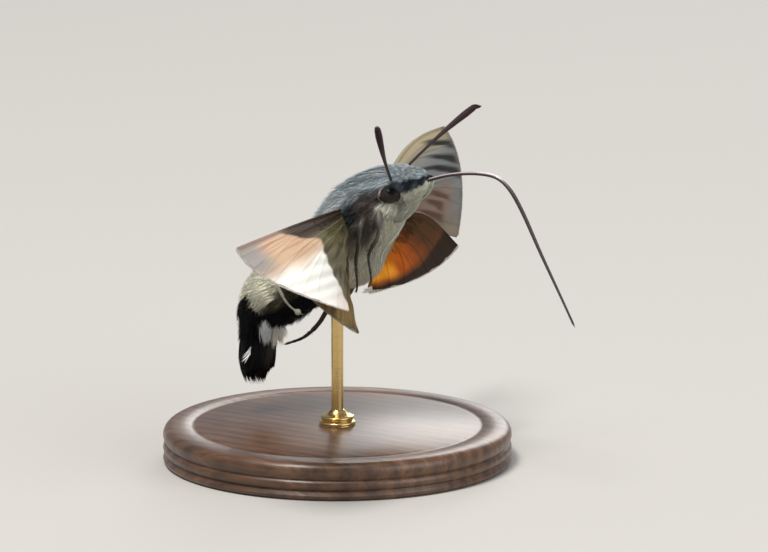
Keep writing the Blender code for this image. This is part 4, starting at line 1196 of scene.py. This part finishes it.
# Each vein: its share across at the margin and at the trunk, and the share of the span where it parts.
VEINS = {
    "forewing": (
        (0.02, 0.03, 0.0), (0.09, 0.12, 0.30), (0.16, 0.13, 0.42), (0.24, 0.14, 0.50), (0.33, 0.15, 0.46),
        (0.43, 0.34, 0.50), (0.55, 0.52, 0.48), (0.66, 0.53, 0.40), (0.78, 0.54, 0.26), (0.92, 0.84, 0.05),
    ),
    "hindwing": (
        (0.04, 0.05, 0.0), (0.17, 0.16, 0.40), (0.30, 0.17, 0.42), (0.43, 0.34, 0.48), (0.56, 0.50, 0.45),
        (0.69, 0.51, 0.30), (0.82, 0.76, 0.05), (0.94, 0.90, 0.05),
    ),
}
# Share across, and the share of the span where the near forewing's olive base, darkened by painted
# shadow of the body, ends there.
PAINTED_SHADOW_EDGE = np.array((
    (0.0, 0.62), (0.15, 0.53), (0.24, 0.47), (0.34, 0.40), (0.42, 0.36), (0.61, 0.47), (0.80, 0.58),
    (0.93, 0.72), (1.0, 0.88),
))
# Dark streaks of the far forewing: share across, slant, and the shares of the span they run between.
FAR_STREAKS = (
    (0.10, 0.45, 0.60, 1.10), (0.275, 0.43, 0.55, 1.10), (0.405, 0.43, 0.40, 1.10),
    (0.675, 0.36, 0.42, 0.85), (0.785, 0.36, 0.38, 0.80), (0.875, 0.24, 0.34, 0.82),
)


def wing_middle(name, along, across):
    """Middle surface of a wing. Rows from the root to a margin with one bend are straight, the
    leading edge bulges by a half sine of a power of the span, the chord turns along the span, and
    a product of half sines gives the camber. Gives the points and the direction out of the underside.
    """
    (side, root, pose), (root_ends, apex, margin, corner, bulge, skew, camber, width) = WINGS[name]
    sweep, rise, turn_root, turn_tip = np.radians(pose)
    level = math.cos(rise)
    out = np.array((math.sin(sweep) * level, side * math.cos(sweep) * level, math.sin(rise)))
    w = across[..., None]
    edge = (1 - w) ** 2 * np.array(apex) + 2 * w * (1 - w) * np.array(margin) + w * w * np.array(corner)
    span = along * edge[..., 0]
    chord = (1 - along) * (root_ends[0] + (root_ends[1] - root_ends[0]) * across) + along * edge[..., 1]
    chord = chord - bulge * np.sin(math.pi * along ** skew) * (1 - across) ** 2
    chord = np.where(chord > 0, chord * width, chord)
    turn = turn_root + (turn_tip - turn_root) * span / apex[0]
    down = np.stack((np.sin(turn), 0 * turn, -np.cos(turn)), axis=-1)
    down = down - (down @ out)[..., None] * out
    down = down / np.linalg.norm(down, axis=-1, keepdims=True)
    under = np.cross(down, out) * side
    swell = camber * np.sin(math.pi * along) * np.sin(math.pi * across)
    points = np.array(root) * (1, side, 1) + span[..., None] * out + chord[..., None] * down
    return points + swell[..., None] * under, under


def vein_ridge(veins, along, across, chord):
    """Height of the veins, 0 to 1: a bell across each line from its trunk to its end at the margin."""
    ridge = np.zeros_like(along)
    for end, trunk, parting in veins:
        line = trunk + (end - trunk) * np.clip((along - parting) / (1 - parting), 0, 1) ** 0.85
        ridge = np.maximum(ridge, np.exp(-(((across - line) * chord / VEIN_HALF_WIDTH) ** 2)))
    cell = np.exp(-(((along - 0.47 - 0.10 * np.abs(across - 0.33)) * 17 / VEIN_HALF_WIDTH) ** 2))
    return np.maximum(ridge, 0.8 * cell * ((across > 0.14) & (across < 0.53)))


def forewing_under(along, across):
    """Underside: an olive folded base, partly its own olive and partly painted shadow of the body,
    that ends in a notched line at the shadow's edge; a disc that turns from peach to white towards
    the inner edge, the white a painted highlight of sunlight, with pink streaks; and a lilac-grey tip.
    """
    streak = waves(along * 3, across * 9, 1.4, 60)
    fine = waves(along * 1.5, across * 14, 0.8, 61)
    # Olive base with its dark front edge: the wing's own olive, darkened as painted shadow of the body.
    base = layered(
        (0.140, 0.122, 0.074),
        ((0.066, 0.056, 0.034), ramp(streak, -0.4, 0.9)),
        ((0.20, 0.18, 0.135), 0.5 * ramp(fine, 0.2, 1.1)),
        ((0.130, 0.120, 0.040), 0.7 * bell(along, 0.2, 0.12) * bell(across, 0.5, 0.25)),
        ((0.030, 0.018, 0.012), 0.95 * (1 - ramp(across + 0.03 * streak, 0.20, 0.36))),
    )
    disc = layered(
        (0.52, 0.36, 0.24),
        # Near-white towards the inner edge: painted highlight of sunlight on the wing.
        ((0.95, 0.90, 0.81), ramp(across + 0.3 * (along - 0.6) + 0.04 * streak, 0.40, 0.62)),
        ((0.40, 0.20, 0.14), 0.75 * (1 - ramp(across, 0.34, 0.50)) * ramp(fine + 0.6 * streak, -0.1, 0.9)),
        ((0.66, 0.53, 0.47), 0.85 * ramp(across, 0.84, 1.0)),
        ((0.24, 0.245, 0.24), 0.9 * ramp(along + 0.02 * fine, 0.74, 0.92) * (1 - ramp(across, 0.22, 0.50))),
    )
    shadow_line = np.interp(across, PAINTED_SHADOW_EDGE[:, 0], PAINTED_SHADOW_EDGE[:, 1]) + 0.010 * streak
    rib = 0.8 * (1 - ramp(across, 0.02, 0.09)) * ramp(along, 0.5, 0.62)
    return layered(base, (disc, ramp(along - shadow_line, -0.012, 0.03)), ((0.20, 0.145, 0.12), rib))


def forewing_under_far(along, across):
    """Underside of the far wing: cream front, grey field with dark slanting streaks, rusty rear, all in
    dimmed colours that paint the shade the far wing lies in.
    """
    streak = waves(along * 2, across * 12, 1.3, 62)
    # Painted shade: the far wing's own pattern in colours dimmed to about half.
    colours = layered(
        (0.31, 0.265, 0.165),
        ((0.155, 0.17, 0.17), ramp(across + 0.03 * streak, 0.06, 0.30)),
        ((0.22, 0.145, 0.10), 0.68 * ramp(across, 0.50, 0.64) * (1 - ramp(along, 0.74, 0.98))),
        ((0.19, 0.165, 0.125), ramp(across, 0.82, 0.96)),
    )
    for middle, slant, start, end in FAR_STREAKS:
        half_width = 0.022 + 0.024 * ramp(along, start, 1.0)
        line = (across - middle - slant * (along - 0.7) - 0.010 * streak) / half_width
        weight = 0.97 * np.exp(-(line ** 4)) * between(along, start, start + 0.18, end - 0.12, end)
        colours = blend(colours, (0.006, 0.007, 0.007) if middle < 0.5 else (0.085, 0.045, 0.030), weight)
    return blend(colours, (0.14, 0.125, 0.105), 0.6 * ramp(along + 0.01 * streak, 0.94, 1.0))


def forewing_upper(along, across):
    """Upperside: grey-brown with two dark wavy cross-lines, a dark base and a small black dot."""
    streak = waves(along * 16, across * 6, 2.2, 63)
    colours = layered(
        (0.155, 0.140, 0.122),
        ((0.095, 0.085, 0.075), ramp(streak, -0.5, 0.8)),
        ((0.070, 0.060, 0.052), 1 - ramp(along, 0.10, 0.22)),
    )
    for place, bend in ((0.33, 0.06), (0.66, -0.10)):
        line = along - place - bend * (across - 0.4) ** 2 - 0.008 * np.sin(across * 22)
        dark = ((0.035, 0.030, 0.028), 0.9 * bell(line, 0, 0.011))
        colours = layered(colours, dark, ((0.24, 0.225, 0.20), 0.5 * bell(line, 0.03, 0.014)))
    dot = np.hypot((along - 0.46) * 16, (across - 0.24) * 5)
    edge = ramp(along + 0.01 * streak, 0.90, 0.96)
    return layered(colours, (BLACK * 2, 1 - ramp(dot, 0.22, 0.36)), ((0.075, 0.062, 0.052), edge))


def hindwing_under(along, across):
    """Underside: a yellow-orange glow by the inner edge, painted light shining through the wing, red-brown
    disc, and a black-brown margin.
    """
    streak = waves(along * 2, across * 10, 1.5, 64)
    inward = across + 0.05 * streak
    edge = along + 0.02 * streak + 0.28 * (1 - across)
    return layered(
        (0.15, 0.046, 0.010),
        ((0.45, 0.102, 0.004), ramp(inward, 0.26, 0.60)),
        # Painted light: a glow of sunlight shining through the wing, over its own orange.
        ((0.98, 0.37, 0.024), bell(along, 0.66, 0.24) * ramp(inward, 0.60, 0.82)),
        ((0.060, 0.030, 0.009), 1 - ramp(across + 0.03 * streak, 0.12, 0.34)),
        ((0.55, 0.38, 0.10), 0.8 * (1 - ramp(along, 0.14, 0.32)) * ramp(across, 0.4, 0.7)),
        ((0.09, 0.034, 0.008), 0.85 * ramp(edge, 0.76, 0.92)),
        ((0.016, 0.009, 0.004), ramp(edge, 0.90, 0.97)),
    )


def hindwing_under_near(along, across):
    """Underside of the near wing: as the far one, with a tan margin that darkens to the corner."""
    streak = waves(along * 2, across * 10, 1.5, 67)
    tan = blend((0.25, 0.165, 0.060), (0.145, 0.10, 0.035), ramp(streak, -0.5, 0.9))
    tan = tan * (0.55 + 0.45 * ramp(along, 0.5, 0.9))[..., None]
    return layered(
        hindwing_under(along * 0.85, across),
        (tan, np.maximum(ramp(along, 0.6, 0.8), ramp(across, 0.6, 0.75))),
        ((0.060, 0.052, 0.028), ramp(across, 0.80, 1.0) * ramp(along, 0.86, 1.0)),
    )


def hindwing_upper(along, across):
    """Upperside: orange with a brown base and front edge, and a dark brown margin."""
    streak = waves(along * 2, across * 10, 1.5, 65)
    return layered(
        (0.62, 0.205, 0.022),
        ((0.46, 0.130, 0.016), ramp(streak, -0.5, 0.9)),
        (HINDWING_BROWN, 1 - ramp(along + 0.02 * streak, 0.16, 0.32)),
        (HINDWING_BROWN, 1 - ramp(across, 0.04, 0.14)),
        ((0.050, 0.026, 0.015), ramp(along + 0.02 * streak, 0.82, 0.95)),
    )


# Under and upper side of each wing.
WING_COLOURS = {
    "forewing_left": (forewing_under_far, forewing_upper),
    "forewing_right": (forewing_under, forewing_upper),
    "hindwing_left": (hindwing_under, hindwing_upper),
    "hindwing_right": (hindwing_under_near, hindwing_upper),
}
wing_finish, tree, shader = new_material(
    "wing_finish",
    Roughness=0.6,
    Specular_IOR_Level=0.10,
    Subsurface_Weight=0.35,
    Subsurface_Radius=(1.0, 0.7, 0.5),
    Subsurface_Scale=0.0005,
)
plan = add_node(tree, "UVMap", uv_map="wing_plan")
rows = add_node(tree, "Mapping", {"Vector": plan.outputs[0], "Scale": (95.0, 160.0, 1.0)})
shingles = {"Vector": rows.outputs[0], "Scale": 1.0, "Randomness": 0.55}
scales = add_node(tree, "TexVoronoi", shingles, voronoi_dimensions="2D")
tinted(tree, shader, scales.outputs["Distance"], 1.18, 0.72)
bumped(tree, shader, scales.outputs["Distance"], 0.000012)


def wing_piece(name):
    """Closed sheet over both faces of a wing, with its veins raised and its plan as a map."""
    kind = name.split("_")[0]
    along, across = np.meshgrid(np.linspace(0, 1, WING_ROWS), np.linspace(0, 1, WING_COLUMNS), indexing="ij")
    middle, under = wing_middle(name, along, across)
    normal = np.cross(np.gradient(middle, axis=0), np.gradient(middle, axis=1))
    normal = normal / np.linalg.norm(normal, axis=-1, keepdims=True)
    normal = normal * np.sign(np.sum(normal * under, axis=-1))[..., None]
    chord = np.linalg.norm(middle[:, -1] - middle[:, 0], axis=-1)[:, None]
    ridge = vein_ridge(VEINS[kind], along, across, chord)
    ripple = 0.05 * waves(along * 2, across * chord, 1.6, 66) * ramp(along, 0.05, 0.4)
    middle = middle + normal * ripple[..., None]
    taper = 0.45 + 0.55 * (1 - along)
    half = MEMBRANE_HALF * (0.6 + 0.4 * taper) + VEIN_RISE * ridge * taper
    half = half + FRONT_EDGE_RISE * bell(across * chord, 0, 0.16) * taper
    sides = (middle + normal * half[..., None], middle - normal * half[..., None])
    points = np.concatenate([face.reshape(-1, 3) for face in sides])
    size = along.size
    sheet = grid_faces(WING_ROWS, WING_COLUMNS, closed=False)
    index = np.arange(size).reshape(WING_ROWS, WING_COLUMNS)
    rim = np.concatenate((index[0, :-1], index[:-1, -1], index[-1, :0:-1], index[:0:-1, 0]))
    after = np.roll(rim, -1)
    edge = np.stack((after, rim, size + rim, size + after), axis=-1)
    mesh = new_mesh(name, (points + MOTH_ORIGIN) * MM, [sheet, sheet[:, ::-1] + size, edge])
    darker = (1 - 0.14 * ridge)[..., None]
    colours = [(marking(along, across) * darker).reshape(-1, 3) for marking in WING_COLOURS[name]]
    paint(mesh, np.concatenate(colours))
    plan = np.stack((along * WING_SPANS[name], across * chord), axis=-1).reshape(-1, 2) / WING_REFERENCE
    add_map(mesh, "wing_plan", np.concatenate((plan, plan)))
    new_piece(name.replace("wing", "wing_blade"), mesh, wing_finish, kind, name)


def wing_face(name, face):
    """Surface of a wing's underside (face 1) or upperside (-1): u is mm out along the span from
    the root, v the share across, and height steps off the face.
    """

    def place(u, v, height=0.0):
        u, v, height = np.broadcast_arrays(u, v, height)
        points, under = wing_middle(name, u / WING_SPANS[name], v)
        return points + under * (face * (height + FACE_LIFT))[..., None]

    return place


def fringe_batch(name, count, seed, tone, longer=0.0):
    """Batch of narrow scales that stand out from a wing's outer margin in the wing's own plane."""
    _, y, draw = spread(count, seed)
    across = 0.01 + 0.98 * y
    under_colours = WING_COLOURS[name][0]
    colours = blend(under_colours(np.full(count, FRINGE_SHARE), across), tone, 0.75)
    colours = colours * draw.uniform(0.75, 1.25, count)[:, None]
    sizes = {
        "length": draw.uniform(0.36, 0.60, count) * (1 + longer * ramp(across, 0.80, 0.95)),
        "half_width": 0.032,
        "thick": 0.012,
        "lift": draw.uniform(-0.06, 0.0, count),
        "sway": draw.normal(0, 0.004, count),
        "sink": 0.04,
    }
    unwrap = (across, 0.5 + 0 * across)
    return wing_face(name, 1), np.full(count, WING_SPANS[name] - FRINGE_INSET), across, colours, unwrap, sizes


def corner_batch(name, count, seed):
    """Batch of long pale scales that hang from the inner end of a hindwing's margin."""
    x, y, draw = spread(count, seed)
    colours = np.array((0.96, 0.93, 0.82)) * draw.uniform(0.85, 1.05, count)[:, None]
    sizes = {
        "length": 0.35 + 0.35 * draw.uniform(0, 1, count),
        "half_width": 0.045,
        "thick": 0.015,
        "lift": draw.uniform(-0.08, 0.06, count),
        "sway": draw.uniform(0.00, 0.07, count),
        "sink": 0.03,
    }
    start = WING_SPANS[name] * (0.90 + 0.09 * x)
    unwrap = (0.97 + 0 * x, 0.2 + 0.2 * x)
    return wing_face(name, 1), start, 0.965 + 0.025 * y, colours, unwrap, sizes


def root_batch(name, face, count, seed):
    """Batch of hair over a wing's base, long and thick by the body and thinning out along it."""
    x, y, draw = spread(count, seed)
    out = (4.8 if name.startswith("fore") else 2.6) * x ** 1.6
    across = 0.02 + 0.99 * y
    colours = WING_COLOURS[name][0 if face > 0 else 1](out / WING_SPANS[name] + 0.03, across)
    colours = colours * draw.uniform(0.7, 1.35, count)[:, None]
    sizes = {
        "length": draw.uniform(1.0, 2.0, count),
        "half_width": 0.045 * draw.uniform(0.7, 1.2, count),
        "thick": 0.02,
        "lift": 0.05 + 0.10 * draw.uniform(0, 1, count) ** 2,
        "sway": draw.normal(0.01, 0.03, count),
        "sink": 0.10,
    }
    unwrap = (0.25 + 0.25 * face + 0.4 * across, out / WING_REFERENCE)
    return wing_face(name, face), out, across, colours, unwrap, sizes


for name in WINGS:
    wing_piece(name)
coat_piece(
    "wing_fringes",
    [
        fringe_batch("forewing_left", 900, 81, (0.26, 0.23, 0.19)),
        fringe_batch("forewing_right", 900, 82, (0.60, 0.54, 0.50)),
        fringe_batch("hindwing_left", 900, 83, (0.90, 0.85, 0.70), 0.8),
        fringe_batch("hindwing_right", 800, 84, (0.46, 0.40, 0.30)),
        corner_batch("hindwing_left", 90, 85),
    ],
    "forewing",
    0.8,
)
wing_sides = [(name, face) for name in WINGS for face in (1, -1)]
root_hair = [root_batch(name, face, 650, seed) for seed, (name, face) in enumerate(wing_sides, 90)]
coat_piece("wing_root_hair", root_hair, "forewing", 0.6)

# Stand
# A turned walnut disc with a rounded edge and a shallow bead, oiled, and a slim brass rod that
# screws into a turned foot collar and ends in the fur of the belly.
BASE_RADIUS = 16.0
BASE_HEIGHT = 3.4
ROD_RADIUS = 0.55
ROD_TOP = 15.9
ROD_GAP = 0.02
AXIS = 0.02
ROUND_POINTS = 7
WALNUT_DARK = (0.045, 0.018, 0.008, 1.0)
WALNUT_PALE = (0.165, 0.078, 0.036, 1.0)
BRASS_DARK = (0.50, 0.33, 0.12, 1.0)
BRASS_PALE = (0.78, 0.58, 0.26, 1.0)


def turned_piece(profile, steps=160):
    """Points and faces of a profile of radius and height, turned round the upright axis."""
    turn = ring_angles(steps)
    radius, height = np.array(profile).T[:, :, None]
    rings = np.stack((radius * np.cos(turn), radius * np.sin(turn), height + 0 * turn), axis=-1)
    return closed_rings(rings)


def rounded(centre, radius, start, end):
    """Arc of profile points round a centre, between two angles in degrees."""
    angle = np.radians(np.linspace(start, end, ROUND_POINTS))
    return [(centre[0] + radius * math.cos(a), centre[1] + radius * math.sin(a)) for a in angle]


base_profile = [(AXIS, 0.0), (BASE_RADIUS - 0.80, 0.0)]
base_profile += rounded((BASE_RADIUS - 0.45, 0.45), 0.45, -90, 0)
base_profile += rounded((BASE_RADIUS - 0.55, 1.35), 0.55, -60, 60)
base_profile += rounded((BASE_RADIUS - 0.85, BASE_HEIGHT - 0.85), 0.85, -25, 90)
for inset, groove in ((1.4, 0.0), (2.4, 0.0), (2.55, 0.07), (2.8, 0.10), (3.05, 0.07), (3.2, 0.0)):
    base_profile.append((BASE_RADIUS - inset, BASE_HEIGHT - groove))
points, faces = turned_piece(base_profile + [(AXIS, BASE_HEIGHT)])
mesh = new_mesh("base", points * MM, faces)
mesh.set_sharp_from_angle(angle=math.radians(40))
wood_finish, tree, shader = new_material("wood_finish", Roughness=0.38, Coat_Weight=0.25, Coat_Roughness=0.25)
place = add_node(tree, "TexCoord").outputs["Object"]
along_grain = add_node(tree, "Mapping", {"Vector": place, "Scale": (1.0, 9.0, 5.0)}).outputs[0]
drift = add_node(tree, "TexNoise", {"Vector": along_grain, "Scale": 45.0, "Detail": 4.0, "Distortion": 0.6})
rings = {"Vector": along_grain, "Scale": 22.0, "Distortion": 5.0, "Detail": 3.0, "Detail Scale": 1.5}
bands = add_node(tree, "TexWave", rings, bands_direction="Y")
pores = add_node(tree, "TexNoise", {"Vector": along_grain, "Scale": 420.0, "Detail": 3.0}).outputs[0]
mixed = add_node(tree, "Mix", {0: 0.72, 2: bands.outputs["Fac"], 3: drift.outputs[0]}, data_type="FLOAT")
colour = add_node(tree, "ValToRGB", {0: mixed.outputs[0]})
dark, pale = colour.color_ramp.elements
dark.position = 0.2
dark.color = WALNUT_DARK
pale.position = 0.8
pale.color = WALNUT_PALE
pore_tone = add_node(tree, "MapRange", {0: pores, 1: 0.35, 2: 0.6, 3: 0.6, 4: 1.0})
both = {0: 1.0, 6: colour.outputs[0], 7: pore_tone.outputs[0]}
stained = add_node(tree, "Mix", both, data_type="RGBA", blend_type="MULTIPLY")
tree.links.new(stained.outputs[2], shader.inputs["Base Color"])
bumped(tree, shader, pores, 0.00003)
new_piece("base", mesh, wood_finish, "base_wood", "stand_base")

foot = BASE_HEIGHT + ROD_GAP
rod_profile = [(AXIS, foot), (1.62, foot)] + rounded((1.52, 3.60), 0.16, -60, 60)
rod_profile += [(1.42, 3.80), (1.42, 3.92)] + rounded((1.40, 4.10), 0.15, -60, 60)
rod_profile += [(1.22, 4.28), (0.92, 4.44), (0.72, 4.66), (0.62, 4.78), (ROD_RADIUS, 4.80)]
rod_profile += [(ROD_RADIUS, ROD_TOP), (AXIS, ROD_TOP)]
points, faces = turned_piece(rod_profile, 48)
mesh = new_mesh("rod", points * MM, faces)
mesh.set_sharp_from_angle(angle=math.radians(50))
brass_finish, tree, shader = new_material("brass_finish", Metallic=1.0, Roughness=0.27)
place = add_node(tree, "TexCoord").outputs["Object"]
lathe = add_node(tree, "Mapping", {"Vector": place, "Scale": (1.0, 1.0, 26.0)}).outputs[0]
marks = add_node(tree, "TexNoise", {"Vector": lathe, "Scale": 700.0, "Detail": 3.0}).outputs[0]
tone = add_node(tree, "ValToRGB", {0: marks})
dark, pale = tone.color_ramp.elements
dark.color = BRASS_DARK
pale.color = BRASS_PALE
tree.links.new(tone.outputs[0], shader.inputs["Base Color"])
bumped(tree, shader, marks, 0.000008)
new_piece("rod", mesh, brass_finish, "rod_metal", "stand_rod")

# Floor, light and camera
# A pale plain floor, a soft lamp from above as the sun stands in the picture, a broad weak one from
# the right, a faint one behind, and a long lens at the picture's viewing angle.
VIEW_AZIMUTH = math.radians(32)
VIEW_ELEVATION = math.radians(12)
VIEW_DISTANCE = 0.6
FRAME_WIDTH = 0.0698
FRAME_SHIFT = (1.727, -4.909)
SENSOR_WIDTH = 36.0
FLOOR_HALF = 1.6
FLOOR_HEIGHT = -0.00002

floor_corners = np.array(((-1, -1, 0), (1, -1, 0), (1, 1, 0), (-1, 1, 0))) * FLOOR_HALF + (0, 0, FLOOR_HEIGHT)
floor_mesh = new_mesh("floor", floor_corners, [np.array([[0, 1, 2, 3]])])
floor = bpy.data.objects.new("floor", floor_mesh)
bpy.context.scene.collection.objects.link(floor)
floor_finish, tree, shader = new_material("floor_finish", Roughness=0.85, Base_Color=(0.50, 0.49, 0.465, 1.0))
floor_mesh.materials.append(floor_finish)

to_right = np.array((math.cos(VIEW_AZIMUTH), math.sin(VIEW_AZIMUTH), 0.0))
to_camera = np.array((to_right[1], -to_right[0], 0.0)) * math.cos(VIEW_ELEVATION)
to_camera[2] = math.sin(VIEW_ELEVATION)
to_top = np.cross(to_camera, to_right)
aim = (MOTH_ORIGIN + FRAME_SHIFT[0] * to_right + FRAME_SHIFT[1] * to_top) * MM


def aimed(obj, position):
    """Put a lamp or the camera at a position, looking at the aim."""
    obj.location = position
    obj.rotation_euler = Vector(aim - position).to_track_quat("-Z", "Y").to_euler()
    bpy.context.scene.collection.objects.link(obj)
    return obj


def soft_lamp(name, way, distance, size, power, colour):
    """Square area lamp in a direction given along the picture's right, top and camera axes."""
    lamp = bpy.data.lights.new(name, "AREA")
    lamp.size = size
    lamp.energy = power
    lamp.color = colour
    way = way[0] * to_right + way[1] * to_top + way[2] * to_camera
    return aimed(bpy.data.objects.new(name, lamp), aim + way / np.linalg.norm(way) * distance)


soft_lamp("sun_side", (-0.25, 0.88, 0.50), 0.9, 0.28, 8.4, (1.0, 0.965, 0.91))
soft_lamp("sky_side", (0.9, 0.35, 0.75), 1.0, 0.8, 4.0, (0.97, 0.985, 1.0))
soft_lamp("back_rim", (0.25, 0.6, -0.9), 0.9, 0.4, 2.0, (1.0, 0.98, 0.95))
world = bpy.data.worlds.new("studio")
world.use_nodes = True
sky = world.node_tree.nodes["Background"]
sky.inputs["Color"].default_value = (0.93, 0.95, 1.0, 1.0)
sky.inputs["Strength"].default_value = 0.38
bpy.context.scene.world = world
bpy.context.scene.view_settings.view_transform = "Standard"

lens = bpy.data.cameras.new("camera")
lens.sensor_width = SENSOR_WIDTH
lens.lens = SENSOR_WIDTH * VIEW_DISTANCE / FRAME_WIDTH
lens.clip_start = 0.01
lens.clip_end = 20.0
bpy.context.scene.camera = aimed(bpy.data.objects.new("camera", lens), aim + to_camera * VIEW_DISTANCE)
